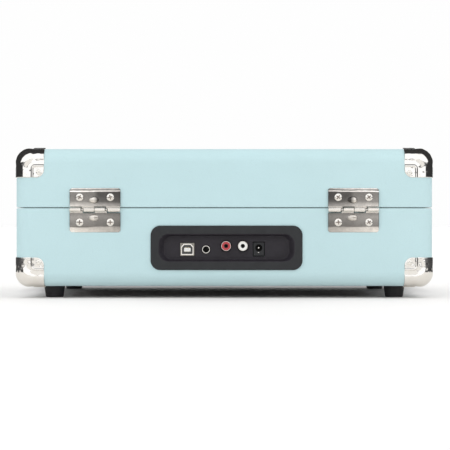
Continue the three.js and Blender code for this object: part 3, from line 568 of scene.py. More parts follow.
# painted shade: the pocket of the one-piece tray is a darker, purpler copy of its plastic
M_TRAY_POCKET_SHADE = plastic("tray_pocket_plastic_painted_shade", (0.0205, 0.0180, 0.0240), (0.50, 0.64), 2600, 0.30, 0.00005, 0.10, 0.30)
M_BLACK = plastic("black_plastic", (0.018, 0.018, 0.020), (0.34, 0.50), 2400, 0.25, 0.00005, 0.15, 0.5)
M_GLOSS = plastic("gloss_black_plastic", (0.012, 0.012, 0.013), (0.16, 0.26), 900, 0.04, 0.00003, 0.12, 0.5, 0.25)
M_RUBBER = plastic("foot_rubber", (0.016, 0.0155, 0.018), (0.52, 0.70), 1600, 0.35, 0.00006, 0.2, 0.4)
M_SHELL = satin_metal("socket_shell_tin", (0.36, 0.345, 0.32), (0.20, 0.19, 0.175), (0.22, 0.36), (900, 900, 900), 300, 0.03)
# painted shade: the tin deep inside the sockets is a darker copy of the shell tin
M_SHELL_SHADE = satin_metal("socket_inner_tin_painted_shade", (0.15, 0.155, 0.16), (0.085, 0.09, 0.092), (0.3, 0.45), (900, 900, 900), 300, 0.03)
M_WHITE = plastic("white_insert_plastic", (0.80, 0.80, 0.78), (0.28, 0.40), 1200, 0.06, 0.00003, 0.03)
M_RED = plastic("red_insert_plastic", (0.44, 0.045, 0.055), (0.28, 0.42), 1200, 0.06, 0.00003, 0.10)
# painted shade: a darker copy of the red insert plastic for the red insert's bore
M_RED_SHADE = plastic("red_bore_plastic_painted_shade", (0.05, 0.008, 0.008), (0.4, 0.55), 1200, 0.06, 0.00003, 0.10)
M_RING = chrome("socket_ring_nickel", (0.86, 0.84, 0.82), (0.14, 0.24), 0.02, 200, 0.04)
# partly the bores' own black plastic, partly painted shade: darker than the other black plastics, and also on the white
# insert's sleeve
M_BORE_BLACK_AND_SHADE = plastic("socket_bore_black_and_painted_shade", (0.006, 0.006, 0.006), (0.45, 0.6), 1200, 0.1, 0.00003, 0.2, 0.2)
M_GOLD = satin_metal("contact_gilt", (0.80, 0.62, 0.30), (0.62, 0.46, 0.2), (0.2, 0.3))
M_BOARD = plastic("circuit_board_green", (0.02, 0.13, 0.06), (0.25, 0.4), 700, 0.2, 0.00008, 0.2)
M_LINING = woven("lid_lining_textile", (0.060, 0.062, 0.066), (0.022, 0.023, 0.026))
M_FELT = woven("felt_black", (0.035, 0.035, 0.038), (0.012, 0.012, 0.013), 1.3, 0.7)
M_FIBRE = plastic("bottom_fibre_board", (0.030, 0.029, 0.028), (0.7, 0.85), 900, 0.45, 0.00010, 0.25, 0.3)
M_CONE = plastic("speaker_paper", (0.03, 0.03, 0.03), (0.75, 0.9), 1500, 0.4, 0.00008, 0.2, 0.2)
M_MAGNET = satin_metal("zinc_plate", (0.55, 0.54, 0.50), (0.38, 0.37, 0.34), (0.3, 0.45))
M_BRASS = satin_metal("brass_turned", (0.78, 0.60, 0.30), (0.60, 0.44, 0.20), (0.18, 0.3), (2400, 2400, 120))
M_BELT = plastic("belt_rubber", (0.012, 0.012, 0.012), (0.5, 0.65), 1600, 0.2, 0.00004)
M_LEAD = plastic("lead_sleeve", (0.02, 0.02, 0.021), (0.4, 0.55), 1200, 0.15, 0.00004)
M_IVORY = plastic("adapter_plastic", (0.68, 0.67, 0.63), (0.3, 0.42), 1300, 0.08, 0.00003, 0.04)
M_CART = plastic("cartridge_red", (0.36, 0.012, 0.014), (0.18, 0.3), 900, 0.05, 0.00003, 0.08, 0.5, 0.2)
M_LAMP = plastic("lamp_red", (0.42, 0.02, 0.02), (0.08, 0.14), 900, 0.03, 0.00002, 0.05, 0.5, 0.4)
M_INK = plastic("legend_ink", (0.70, 0.70, 0.68), (0.5, 0.6), 1500, 0.1, 0.00002, 0.04)
M_THREAD = woven("stitch_thread", (0.62, 0.72, 0.74), (0.42, 0.52, 0.55), 0.5, 0.5)

# ------------------------------------------------------------------ the two halves of the case


def half_profile(zf, zr, floor_t, lip, up):
    """(inset, z) from the middle of the outer panel, over the edge, up the wall, over the rim and down inside."""
    p = [(R0 + 0.8, zf), (R0, zf)]
    p += [(R0 - R0 * math.sin(rad(a)), zf + up * (R0 - R0 * math.cos(rad(a)))) for a in range(6, 91, 6)]
    p += [(0, zf + up * (R0 + 0.8)), (0, zr - up * 1.6)]
    r = 0.95
    p += [(r - r * math.cos(rad(a)), zr - up * (r - r * math.sin(rad(a)))) for a in range(0, 91, 15)]
    p += [(1.5, zr), (4.5, zr)]
    p += [(6 - r + r * math.sin(rad(a)), zr - up * (r - r * math.cos(rad(a)))) for a in range(0, 91, 15)]
    p += [(6, zr - up * 1.6), (6, zr - up * lip), (6, zf + up * (floor_t + 3))]
    p += [(6 + 2 - 2 * math.cos(rad(a)), zf + up * (floor_t + 2 - 2 * math.sin(rad(a)))) for a in (0, 22.5, 45, 67.5, 90)]
    p += [(9, zf + up * floor_t)]
    return p


def half(name, zf, zr, floor_t, lip, up, mats, body, replaces):
    prof = half_profile(zf, zr, floor_t, lip, up)
    v, f = loft(2 * W2, 2 * D2, R0, prof, 12, support=0.8)
    n = len(plan(10, 10, 1, 0, 12, support=0.8))
    inner_from = next(i for i, (d, z) in enumerate(prof) if d == 6 and abs(z - (zr - up * lip)) < 1e-6)
    ids = [1 if (i // n) >= inner_from else 0 for i in range(len(f) - 2)] + [0, 1]
    g = Geo()
    g.v, g.f, g.m = v, f, ids
    return make(name, g, mats, body, replaces, angle=40)


base = half("base_case_covered", Z0, ZB, 5, 9.5, 1, [M_LEATHER, M_FIBRE], "base", "base_case")
lid = half("lid_case_covered", ZT, ZL, 6, 9.0, -1, [M_LEATHER, M_LINING], "lid", "lid_case")

# openings for the socket tray and the two grilles
lo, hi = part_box("socket_tray")
TX, TZ = (lo.x + hi.x) / 2 * 1000, (lo.z + hi.z) / 2 * 1000
TW, TH = (hi.x - lo.x) * 1000, (hi.z - lo.z) * 1000
TF = hi.y * 1000 - DY  # front face of its flange
bake_boolean(base, [[(TX + x, y, TZ + z) for x, z, y in loft(116.6, 26.4, 10, [(0, D2 - 9), (0, D2 + 3)], 8)[0]], loft(116.6, 26.4, 10, [(0, D2 - 9), (0, D2 + 3)], 8)[1]], angle=40)
GX, GZ = 124.0, 37.5
for s in (-1, 1):
    q = loft(44, 30, 6, [(0, -D2 - 3), (0, -D2 + 9)], 6)
    bake_boolean(base, [[(s * GX + x, y, GZ + z) for x, z, y in q[0]], q[1]], angle=40)

# lining board glued inside the lid, with its own edge
zin = ZT - 6
g = loft(2 * W2, 2 * D2, R0, [(30, zin - 0.04), (9, zin - 0.04), (6.05, zin - 3), (6.05, ZL + 9.3), (6.15, ZL + 9.1), (6.4, ZL + 9.1), (6.5, ZL + 9.3), (6.5, zin - 3.4)]
         + [(6.5 + 3 - 3 * math.cos(rad(a)), zin - 3.5 + 3 * math.sin(rad(a))) for a in (20, 45, 70, 90)] + [(30, zin - 0.5)], 8, support=0.8)
make("lid_lining_board", g, M_LINING, "lid", angle=50)

# ------------------------------------------------------------------ pressed corners: a skin drawn round the case's corner
CE = cad_hi.x * 1000 - W2  # how far a corner stands proud
CL, CIR = 25.5, 6.8
RC = R0 + CE


def corner_lines(L, r_tab):
    a = [RC * i / 18 for i in range(18)] + [RC]
    a += [r_tab - 1.6 + 0.2 * i for i in range(18)]
    a += [r_tab + 1.8 + (L - 0.75 - r_tab - 1.8) * i / 9 for i in range(1, 10)]
    a += [L - 0.5, L - 0.3, L - 0.13, L - 0.03, L]
    return sorted(set(round(x, 4) for x in a))


def corner_skin(tab=15.3, tab_r=2.4, seed=0):
    """Vertices and faces of one corner, in distances from the case's outermost corner."""
    L = CL
    lines = corner_lines(L, tab)
    k = len(lines)

    def outline(u, v):
        c0 = L - CIR
        if u > c0 and v > c0:
            a, b = (u - c0) / CIR, (v - c0) / CIR
            return c0 + CIR * a * math.sqrt(1 - b * b / 2), c0 + CIR * b * math.sqrt(1 - a * a / 2)
        return u, v

    def edge(u, v):
        c0 = L - CIR
        if u > c0 and v > c0:
            return CIR - math.hypot(u - c0, v - c0)
        return min(L - u, L - v)

    def height(u, v):
        q = (tab + tab_r - u, tab + tab_r - v)
        d = tab_r - (math.hypot(max(q[0], 0), max(q[1], 0)) + min(max(q[0], q[1]), 0))
        # a dish towards the nail's tab, a raised bead round the tab and a flat seat for the nail inside it
        def ss(x, a, b):
            t = max(0.0, min(1.0, (x - a) / (b - a)))
            return t * t * (3 - 2 * t)
        up = max(0.0, min(1.0, (d + 1.0) / 0.95))
        h = -0.95 * ss(d, -8.6, -3.4) + 0.95 * (0.7 * up + 0.3 * ss(d, -1.0, -0.05)) - 0.62 * ss(d, 0.5, 1.4)
        h += 0.03 * math.sin(0.95 * u + 1.3 + seed) * math.sin(0.8 * v + 0.4 + 2 * seed) * ss(min(CL - u, CL - v), 0, 3)
        h += 0.006 * math.sin(1.9 * v + 0.7 * u + seed) * ss(min(CL - u, CL - v), 0, 3) - 0.045
        e = edge(u, v)
        low = CE - 0.08 + h
        if e < 0.5:
            x = 1 - max(e, 0) / 0.5
            h -= low * (1 - math.sqrt(max(0.0, 1 - x * x)))
        return h

    def place(u, v, h, face):
        Q = [0.0, 0.0, 0.0]
        i, j = [a for a in range(3) if a != face]
        Q[i], Q[j] = u, v
        C = [max(q, RC) for q in Q]
        d = Vector(Q) - Vector(C)
        nrm = d.normalized()
        return tuple(Vector(C) + nrm * (RC + h))

    verts, faces = [], []
    for inner in (False, True):
        for face in range(3):
            o = len(verts)
            for u0 in lines:
                for v0 in lines:
                    u, v = outline(u0, v0)
                    h = -(CE - 0.05) if inner else height(u, v)
                    verts.append(place(u, v, h, face))
            for a in range(k - 1):
                for b in range(k - 1):
                    p = o + a * k + b
                    q = [p, p + 1, p + k + 1, p + k]
                    flip = (face == 1) != inner
                    faces.append(q if flip else q[::-1])
    # close the rim between the outer and the inner skin
    half_n = 3 * k * k
    for face in range(3):
        o = face * k * k
        line = [o + (k - 1) * k + b for b in range(k)] + [o + a * k + (k - 1) for a in range(k - 2, -1, -1)]
        for a, b in zip(line, line[1:]):
            faces.append([a, b, b + half_n, a + half_n])
    return verts, faces


def dome_nail(r=2.3, h=0.64, hole=0.55):
    """A domed nail head about z, its seat at z = 0."""
    p = [(0, h - 0.5), (hole * 0.7, h - 0.48), (hole, h - 0.1)]
    for a in (12, 24, 38, 52, 66, 80, 90):
        p.append((hole + 0.12 + (r - hole - 0.12) * math.sin(rad(a)), 0.12 + (h - 0.12) * math.cos(rad(a))))
    p += [(r, 0.0), (0, 0)]
    return lathe(p, 28)


skins = [corner_skin(seed=0.9 * i) for i in range(8)]
NAIL = 21.3
for half_name, sz, body in (("base", -1, "base"), ("lid", 1, "lid")):
    for label, sx, sy in (("front_left", -1, -1), ("front_right", 1, -1), ("rear_left", -1, 1), ("rear_right", 1, 1)):
        def put(p, sx=sx, sy=sy, sz=sz):
            zz = (Z0 - CE + p[2]) if sz < 0 else (ZT + CE - p[2])
            return (sx * (W2 + CE - p[0]), sy * (D2 + CE - p[1]), zz)
        g = Geo().add(skins.pop(), 0, put)
        seat = CE - 0.70
        nail = dome_nail()
        jx, jy = random.uniform(-0.35, 0.35), random.uniform(-0.35, 0.35)
        for axis in range(3):
            def on(p, axis=axis, jx=jx, jy=jy):
                a, b, c = p
                w = CE - seat - c + 0.05  # depth from the outermost plane
                q = [NAIL + a + jx, NAIL + b + jy]
                q.insert(axis, w)
                return put(tuple(q))
            g.add(nail, 1, on)
        make(f"corner_{half_name}_{label}", g, [M_CHROME, M_NAIL], body, f"{half_name}_corner_{label}", angle=60)

# ------------------------------------------------------------------ screws


def screw_head(r=3.35, h=1.45, cross=2.0, width=0.95, depth=0.85, n=40):
    """A pan head with a cross recess, about z, seat at z = 0. Made with one cut and then copied."""
    p = [(0, -0.3), (r - 0.1, -0.3), (r, 0.0), (r, 0.35)]
    for a in range(10, 91, 10):
        p.append((r * math.cos(rad(a)) ** 0.75 if a < 90 else 0.0, 0.35 + (h - 0.35) * math.sin(rad(a))))
    head = Geo().add(lathe(p, n))
    me = bpy.data.meshes.new("s")
    me.from_pydata(head.v, [], head.f)
    bm = bmesh.new()
    bm.from_mesh(me)
    bmesh.ops.remove_doubles(bm, verts=bm.verts, dist=1e-4)
    bmesh.ops.recalc_face_normals(bm, faces=bm.faces)
    bm.to_mesh(me)
    bm.free()
    ob = bpy.data.objects.new("s", me)
    bpy.context.scene.collection.objects.link(ob)
    cut = Geo()
    for k in (0, 90):
        v, f = rings([[(x * s, y * s2, z) for x, y in ((cross, width / 2), (-cross, width / 2), (-cross, -width / 2), (cross, -width / 2))] for s, s2, z in ((0.55, 0.7, h - depth), (1, 1, h - 0.1), (1.1, 1.15, h + 0.6))])
        cut.add((v, f), 0, spun(k))
    objs = []
    for part in (0, 1):
        c = bpy.data.meshes.new("c")
        n0 = len(cut.v) // 2
        c.from_pydata(cut.v[part * n0:(part + 1) * n0], [], [[i - part * n0 for i in f] for f in cut.f[part * (len(cut.f) // 2):(part + 1) * (len(cut.f) // 2)]])
        bm = bmesh.new()
        bm.from_mesh(c)
        bmesh.ops.recalc_face_normals(bm, faces=bm.faces)
        bm.to_mesh(c)
        bm.free()
        oc = bpy.data.objects.new("c", c)
        bpy.context.scene.collection.objects.link(oc)
        objs.append(oc)
        mod = ob.modifiers.new("cut", "BOOLEAN")
        mod.object, mod.operation, mod.solver = oc, "DIFFERENCE", "EXACT"
    bev = ob.modifiers.new("soft", "BEVEL")
    bev.width, bev.segments, bev.limit_method, bev.angle_limit = 0.07, 2, "ANGLE", rad(45)
    bpy.context.view_layer.update()
    new = bpy.data.meshes.new_from_object(ob.evaluated_get(bpy.context.evaluated_depsgraph_get()))
    v = [tuple(q.co) for q in new.vertices]
    f = [list(q.vertices) for q in new.polygons]
    # faces inside the cross recess take the second material, the painted shade
    SCREW_IDS.extend(1 if (q.center.z < h - 0.16 and math.hypot(q.center.x, q.center.y) < cross * 1.02 and q.center.z > 0.2) else 0 for q in new.polygons)
    for o in [ob, *objs]:
        bpy.data.objects.remove(o)
    bpy.data.meshes.remove(new)
    return v, f


SCREW_IDS = []
SCREW = screw_head()

# ------------------------------------------------------------------ hinges
HX, HY, HZ = 108.0, D2 + 2.45, 74.1
HW = 21.2
KR = 2.05
SEAT0, SEAT1 = D2 + 0.08, D2 + 1.5


def leaf_skin(z_root, z_far, z_fold, lance):
    """One leaf as a pressed skin over u (outwards) and z: main plate, folded far edge, embossed oval, rounded rims."""
    sgn = 1 if z_far > z_root else -1
    us = sorted(set([round(x, 3) for x in [-HW, -HW + 0.05, -HW + 0.18, -HW + 0.4] + [-HW + 0.4 + (2 * HW - 0.8) * i / 110 for i in range(111)] + [HW - 0.18, HW - 0.05, HW]]))
    length = abs(z_far - z_root)
    ts = sorted(set([round(x, 3) for x in [0, 0.05, 0.18, 0.4] + [0.4 + (length - 0.8) * i / 48 for i in range(49)] + [length - 0.18, length - 0.05, length] + [abs(z_fold - z_root) + d for d in (-0.35, -0.15, 0.0, 0.15, 0.35)]]))
    fold = abs(z_fold - z_root)
    rise = SEAT1 - SEAT0

    def top(u, t):
        y = SEAT1
        if t > fold:  # folded edge slopes back to the case
            y -= (rise - 0.25) * (t - fold) / max(length - fold, 0.1)
        y -= 0.10 * math.exp(-(((t - fold) / 0.28) ** 2))
        uu = u * lance["dir"]
        e = (uu / (3.0 if uu > 0 else 5.2)) ** 2 + ((t - lance["t"]) / 2.75) ** 2
        y += lance["h"] * (max(0.0, 1 - e) ** 0.62 if e < 1 else 0.0)
        if lance["slit"]:
            s = math.exp(-((t - lance["t"] - 0.1) / 0.35) ** 2) * max(0.0, 1 - (u * lance["dir"] - 0.6) ** 2 / 6.0)
            y -= 0.75 * s
        e = min(HW - abs(u), t, length - t)
        # far corners are clipped
        c = (HW - abs(u)) + (length - t)
        e = min(e, (c - 1.3) * 0.7071)
        if e < 0.35:
            x = 1 - max(e, 0) / 0.35
            y -= 0.35 * (1 - math.sqrt(max(0.0, 1 - x * x)))
        return y

    def clip(u, t):
        c = (HW - abs(u)) + (length - t)
        if c < 1.3:
            m = (1.3 - c) / 2
            return (abs(u) - m) * (1 if u > 0 else -1), t - m
        return u, t

    v, f = [], []
    nu, nt = len(us), len(ts)
    for back in (0, 1):
        for u in us:
            for t in ts:
                a, b = clip(u, t)
                v.append((a, SEAT0 if back else top(a, b), z_root + sgn * b))
    m = nu * nt
    for i in range(nu - 1):
        for j in range(nt - 1):
            p = i * nt + j
            f.append([p, p + 1, p + nt + 1, p + nt])
            f.append([m + p, m + p + nt, m + p + nt + 1, m + p + 1])
    rim = [i * nt for i in range(nu)] + [(nu - 1) * nt + j for j in range(1, nt)] + [i * nt + nt - 1 for i in range(nu - 2, -1, -1)] + [j for j in range(nt - 2, 0, -1)]
    for a, b in zip(rim, rim[1:] + rim[:1]):
        f.append([a, b, b + m, a + m])
    return v, f


def knuckle(u0, u1, g0, g1, seam, way):
    """A rolled barrel along u. Where the sheet comes off its leaf it is wider, by g0 and g1. seam is the fine line where the roll closes."""
    n, loops = 72, []

    def root(a):
        a = math.degrees((a * way + math.pi) % (2 * math.pi) - math.pi)

        def ss(x, p, q):
            t = max(0.0, min(1.0, (x - p) / (q - p)))
            return t * t * (3 - 2 * t)
        return ss(a, 22, 72) * (1 - ss(a, 108, 132))
    for end, (du, dr) in ((0, (0.0, -0.5)), (0, (0.05, -0.2)), (0, (0.22, -0.03)), (0, (0.5, 0.0)), (1, (-0.5, 0.0)), (1, (-0.22, -0.03)), (1, (-0.05, -0.2)), (1, (0.0, -0.5))):
        ring = []
        for j in range(n):
            a = 2 * math.pi * j / n
            r = KR + dr
            if seam is not None:
                d = (a - seam + math.pi) % (2 * math.pi) - math.pi
                r -= 0.22 * math.exp(-((d / 0.10) ** 2))
            u = (u0 - g0 * root(a) if end == 0 else u1 + g1 * root(a)) + du
            ring.append((u, HY + r * math.cos(a), HZ + r * math.sin(a)))
        loops.append(ring)
    return rings(loops)


GROW = 1.9
KN = {"base": [(11.8, HW, GROW, 0), (-8.4, 0.32, GROW, 0)], "lid": [(0.62, 9.4, 0, GROW), (-HW, -10.8, 0, GROW)]}
for side, label in ((-1, "left"), (1, "right")):
    for which, body in (("base", "base"), ("lid", "lid")):
        g = Geo()
        down = which == "base"
        X = lambda p, side=side: (side * (HX + p[0]), p[1], p[2])
        if down:
            g.add(leaf_skin(HZ - KR - 0.5, 55.25, 59.8, {"t": 4.1, "h": 1.15, "slit": True, "dir": -side}), 0, X)
        else:
            g.add(leaf_skin(HZ + KR + 0.5, 92.35, 89.9, {"t": 5.7, "h": 1.45, "slit": False, "dir": -side}), 0, X)
        for u0, u1, s0, s1 in KN[which]:
            g.add(knuckle(u0, u1, s0, s1, rad(-5) if not down else rad(200), -1 if down else 1), 1, X)
            zr = (HZ - KR - 0.9, HZ - 1.5) if down else (HZ + 1.5, HZ + KR + 0.9)
            g.add(rbox(u0 - s0 * 0.9 + 0.1, u1 + s1 * 0.9 - 0.1, SEAT0, D2 + 1.3, *zr, 0.15, 2), 1, X)
            zr = (HZ - 1.7, HZ - 0.2) if down else (HZ + 0.2, HZ + 1.7)
            g.add(rbox(u0 + 0.35, u1 - 0.35, SEAT0, D2 + 1.1, *zr, 0.15, 2), 1, X)
        make(f"hinge_{which}_{label}", g, [M_HINGE, M_KNUCKLE], body, f"hinge_leaf_{which}_{label}", angle=42)
        for k in (-1, 1):
            z = 63.7 if down else 84.6
            x = side * HX + k * 12.8
            turn = random.uniform(0, 90)
            s = Geo().add(SCREW, SCREW_IDS, shift(x, SEAT1 - 0.02, z, lambda p, turn=turn: xz(spun(turn)(p))))
            make(f"screw_{which}_{label}_{'a' if k < 0 else 'b'}", s, [M_SCREW, M_RECESS_SHADE], body, angle=35)
    # the pin's peened ends
    g = Geo()
    for e in (-1, 1):
        x0 = side * HX + e * (HW - 0.2)
        prof = [(0, 0.55), (0.5, 0.5), (1.05, 0.22), (1.2, 0.0), (1.2, -0.1), (0, -0.1)]
        g.add(lathe(prof, 20), 0, lambda p, x0=x0, e=e: (x0 - e * 0.35 + e * p[2], HY + p[0], HZ + p[1]))
    g.add(lathe([(0, -HW + 0.3), (1.0, -HW + 0.3), (1.0, HW - 0.3), (0, HW - 0.3)], 20), 0, lambda p, side=side: (side * HX + p[2], HY + p[0], HZ + p[1]))
    make(f"hinge_pin_{label}_turned", g, M_PIN, "base", f"hinge_pin_{label}")

# ------------------------------------------------------------------ rear socket tray
PW, PH, PR = 112.4, 22.2, 7.9
PF = TF - 5.5  # floor of the pocket
flange = [(0.0, TF - 1.42), (0.0, TF - 0.95), (0.07, TF - 0.55), (0.28, TF - 0.22), (0.6, TF - 0.05), (1.0, TF), (1.6, TF)]
outer = [plan(TW - 2 * d, TH - 2 * d, 8.1 - d, y, 12) for d, y in flange]
mouth = []
for d, y in ((-1.2, TF), (-0.7, TF - 0.02), (-0.3, TF - 0.16), (0.0, TF - 0.5)):
    mouth.append(plan(PW - 2 * d, PH - 2 * d, PR - d, y, 12))
for k in (0.15, 0.5, 0.85):
    dx, dz = 3.1 * k, 1.0 * k
    mouth.append(plan(PW - 2 * dx, PH - 2 * dz, PR - 0.4 * k, TF - 0.5 - (5.0 - 0.9) * k, 12))
for a in (25, 50, 75, 90):
    dx, dz = 3.1 + 0.9 * (1 - math.cos(rad(a))), 1.0 + 0.5 * (1 - math.cos(rad(a)))
    mouth.append(plan(PW - 2 * dx, PH - 2 * dz, PR - 0.5, TF - 4.6 - 0.9 * math.sin(rad(a)) + 0.0, 12))
back = [plan(PW + 2.6, PH + 2.6, 9.2, TF - 1.42, 12), plan(PW + 2.6, PH + 2.6, 9.2, PF - 1.4, 12), plan(PW - 9.4, PH - 5, 7, PF - 1.4, 12)]
last = plan(PW - 9.4, PH - 5.0, 7.0, PF, 12)
loops = outer + mouth + [last] + [back[2]] + [back[1]] + [back[0]]
v, f = rings(loops, closed=True)
n = len(loops[0])
# faces inside the pocket take the second material, the painted shade
ids = [1 if len(outer) + 1 <= i // n else 0 for i in range(len(f))]
g = Geo().add((v, f), ids, lambda p: (TX + p[0], p[2], TZ + p[1]))


def centre(node):
    a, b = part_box(node)
    return ((a.x + b.x) / 2 * 1000, (a.y + b.y) / 2 * 1000 - DY, (a.z + b.z) / 2 * 1000)


USB = (31.0, 40.9)
AUX = (15.3, 40.9)
RCA_R, RCA_W = (-1.5, 43.8), (-15.5, 43.8)
DC = (-28.9, 41.2)
floor_loops = [rrect(PW - 8.8, PH - 4.4, 7.0, 8, TX, TZ), rrect(12.5, 11.4, 0.5, 3, *USB), circle(3.75, 32, *AUX), circle(4.75, 36, *RCA_R), circle(4.75, 36, *RCA_W), rrect(9.9, 12.3, 0.5, 3, *DC)]
g.add(plate2d(floor_loops, PF - 1.35, PF + 0.02, 0.12, 2), 1, xz)
make("socket_tray_moulded", g, [M_TRAY, M_TRAY_POCKET_SHADE], "base", "socket_tray", angle=40)

# data socket: folded shell with a rolled rim, tongue and contacts
g = Geo()
usb_out = rrect(12.0, 10.9, 0.5, 3)
usb_in = soften([(-4.3, -4.0), (4.3, -4.0), (4.3, 1.7), (2.5, 3.8), (-2.5, 3.8), (-4.3, 1.7)], 0.45, 3)
y1 = PF + 0.6
g.add(plate2d([usb_out, usb_in], PF - 8, y1 - 0.25, 0.18, 2), 0, shift(USB[0], 0, USB[1], xz))
rim_out = soften([(-5.3, -4.85), (5.3, -4.85), (5.3, 2.2), (3.1, 4.75), (-3.1, 4.75), (-5.3, 2.2)], 0.6, 4)
rim_in = soften([(-4.35, -3.75), (4.35, -3.75), (4.35, 1.75), (2.5, 3.75), (-2.5, 3.75), (-4.35, 1.75)], 0.5, 4)
g.add(plate2d([rim_out, rim_in], y1 - 0.7, y1 + 0.0, 0.2, 3), 2, shift(USB[0], 0, USB[1], xz))
g.add(plate2d([soften([(-4.6, -4.3), (4.6, -4.3), (4.6, 1.8), (2.6, 4.1), (-2.6, 4.1), (-4.6, 1.8)], 0.4, 3)], PF - 8.2, PF - 3.2, 0.2, 2), 1, shift(USB[0], 0, USB[1], xz))
g.add(rbox(-2.85, 2.85, -1.75, 1.5, PF - 6, PF - 0.5, 0.25, 3), 3, shift(USB[0], 0, USB[1] - 0.1, xz))
for s in (-1, 1):
    g.add(rbox(s * 1.25 - 0.55, s * 1.25 + 0.55, 1.35, 1.75, PF - 6, PF - 1.1, 0.12, 2), 4, shift(USB[0], 0, USB[1], xz))
    g.add(rbox(s * 1.25 - 0.5, s * 1.25 + 0.5, -2.1, -1.7, PF - 6, PF - 1.1, 0.12, 2), 4, shift(USB[0], 0, USB[1], xz))
make("data_socket", g, [M_SHELL, M_SHELL_SHADE, M_RING, M_WHITE, M_GOLD], "base", "usb_socket", angle=40)

# 3.5 mm socket: rounded collar, dark bore and a contact spring
g = Geo()
collar = soften([(2.6, -6), (2.6, 0.8), (2.75, 1.15), (3.2, 1.15), (3.4, 0.85), (3.4, -6)], [0, 0.1, 0.1, 0.1, 0.1, 0], 2)
g.add(lathe(collar, 40), 0, shift(AUX[0], PF, AUX[1], xz))
g.add(lathe(soften([(1.85, -6), (1.85, -0.6), (2.55, 0.45), (2.65, 0.45), (2.65, -6)], [0, 0.2, 0, 0, 0], 3), 40), 3, shift(AUX[0], PF, AUX[1], xz))
g.add(lathe([(0, -6), (1.9, -6), (1.9, -4.6), (0, -4.6)], 28), 1, shift(AUX[0], PF, AUX[1], xz))
g.add(sweep(smooth_path([(-1.7, 0.7, -4), (-1.25, 0.75, -2.6), (-0.75, 0.8, -1.4), (-1.2, 0.85, -0.8)], 5), rrect(0.25, 1.0, 0.1, 2)), 2, shift(AUX[0], PF, AUX[1], xz))
make("aux_socket_turned", g, [M_RING, M_BORE_BLACK_AND_SHADE, M_RING, M_SHELL_SHADE], "base", "aux_socket", angle=40)

# line-out sockets: plated barrels with coloured inserts
g = Geo()
for (x, z), col in ((RCA_R, 1), (RCA_W, 2)):
    t = shift(x, PF, z, xz)
    g.add(lathe(soften([(3.6, -3), (3.6, 4.0), (3.72, 4.2), (3.98, 4.2), (4.18, 3.95), (4.18, 1.2), (4.05, 1.0), (4.05, 0.7), (4.18, 0.5), (4.18, -3)], [0, 0.12, 0.06, 0.1, 0.1, 0.05, 0.05, 0.05, 0.05, 0], 3), 48), 0, t)
    g.add(lathe(soften([(1.72, -3), (1.72, 3.0), (2.1, 3.6), (3.5, 3.85), (3.61, 3.6), (3.61, -3)], [0, 0.12, 0.2, 0.15, 0, 0], 3), 48), col, t)
    g.add(lathe([(0, -3), (1.76, -3), (1.76, -1.9), (0, -1.9)], 24), 3, t)
    # the centre sleeve is painted shade: a darker red in the red insert, the bore black in the white one
    g.add(lathe([(1.66, -2.5), (1.66, 2.7), (1.76, 2.9), (1.76, -2.5)], 32), 5 if col == 1 else 3, t)
    g.add(lathe(soften([(1.25, -2), (1.25, -0.2), (1.4, 0.0), (1.65, 0.0), (1.65, -2)], [0, 0.1, 0.1, 0, 0], 2), 28), 4, t)
make("line_out_barrels", g, [M_RING, M_RED, M_WHITE, M_BORE_BLACK_AND_SHADE, M_SHELL_SHADE, M_RED_SHADE], "base", "line_out_sockets", angle=40)

# power inlet: square body, bore, centre pin and side contact
g = Geo()
hole = circle(2.95, 40, 0, 1.0)
g.add(plate2d([rrect(8.9, 11.2, 0.4, 3), hole], PF - 7, PF + 0.28, 0.2, 3), 0, shift(DC[0], 0, DC[1], xz))
g.add(lathe([(0, -7), (3.0, -7), (3.0, -5.6), (0, -5.6)], 32), 1, shift(DC[0], PF, DC[1] + 1.0, xz))
g.add(lathe(soften([(2.85, -6), (2.85, -0.5), (3.02, -0.5), (3.02, -6)], 0), 40), 1, shift(DC[0], PF, DC[1] + 1.0, xz))
g.add(turned([(0, -6), (0.95, -6), (0.95, -0.9), (0.5, -0.35), (0, -0.35)], 0.15, 24), 2, shift(DC[0], PF, DC[1] + 1.0, xz))
g.add(rbox(-0.55, 0.55, -0.35, 0.35, -0.2, 0.42, 0.2, 3), 2, shift(DC[0] + 0.1, PF, DC[1] - 2.9, xz))
make("power_inlet", g, [M_TRAY, M_BORE_BLACK_AND_SHADE, M_RING], "base", "power_socket", angle=40)

# ------------------------------------------------------------------ feet
for label, sx, sy in (("front_left", -1, -1), ("front_right", 1, -1), ("rear_left", -1, 1), ("rear_right", 1, 1)):
    t = Z0 - 0.05
    prof = [(0, 1.4), (2.6, 1.4), (2.6, 0.35), (5.2, 0.35), (5.6, 0.0), (7.0, 0.0), (7.6, 0.7), (8.85, t - 0.5), (8.95, t), (0, t)]
    g = Geo().add(lathe(soften(prof, [0, 0.3, 0.3, 0.2, 0.2, 0.5, 0.5, 0.3, 0.1, 0], 4, False), 56), 0, shift(sx * 145, sy * 95, 0))
    g.add(SCREW, [1 + i for i in SCREW_IDS], shift(sx * 145, sy * 95, 1.4, lambda p: (p[0] * 0.66, p[1] * 0.66, -p[2] * 0.6)))
    make(f"foot_{label}_rubber", g, [M_RUBBER, M_SCREW, M_RECESS_SHADE], "base", f"foot_{label}", angle=35)

# ------------------------------------------------------------------ fixings shared by the front and the deck


def flathead(r=2.4, h=0.75):
    k = r / 3.35
    return [(p[0] * k, p[1] * k, p[2] * h / 1.45) for p in SCREW[0]], SCREW[1]


def facing(x, y, z, way, turn=0.0):
    """Puts a screw drawn about z at a place, looking up, down, forwards or backwards."""
    def f(p):
        a, b, c = spun(turn)(p)
        if way == "up":
            q = (a, b, c)
        elif way == "down":
            q = (a, -b, -c)
        elif way == "front":
            q = (a, -c, b)
        else:
            q = (-a, c, b)
        return (x + q[0], y + q[1], z + q[2])
    return f


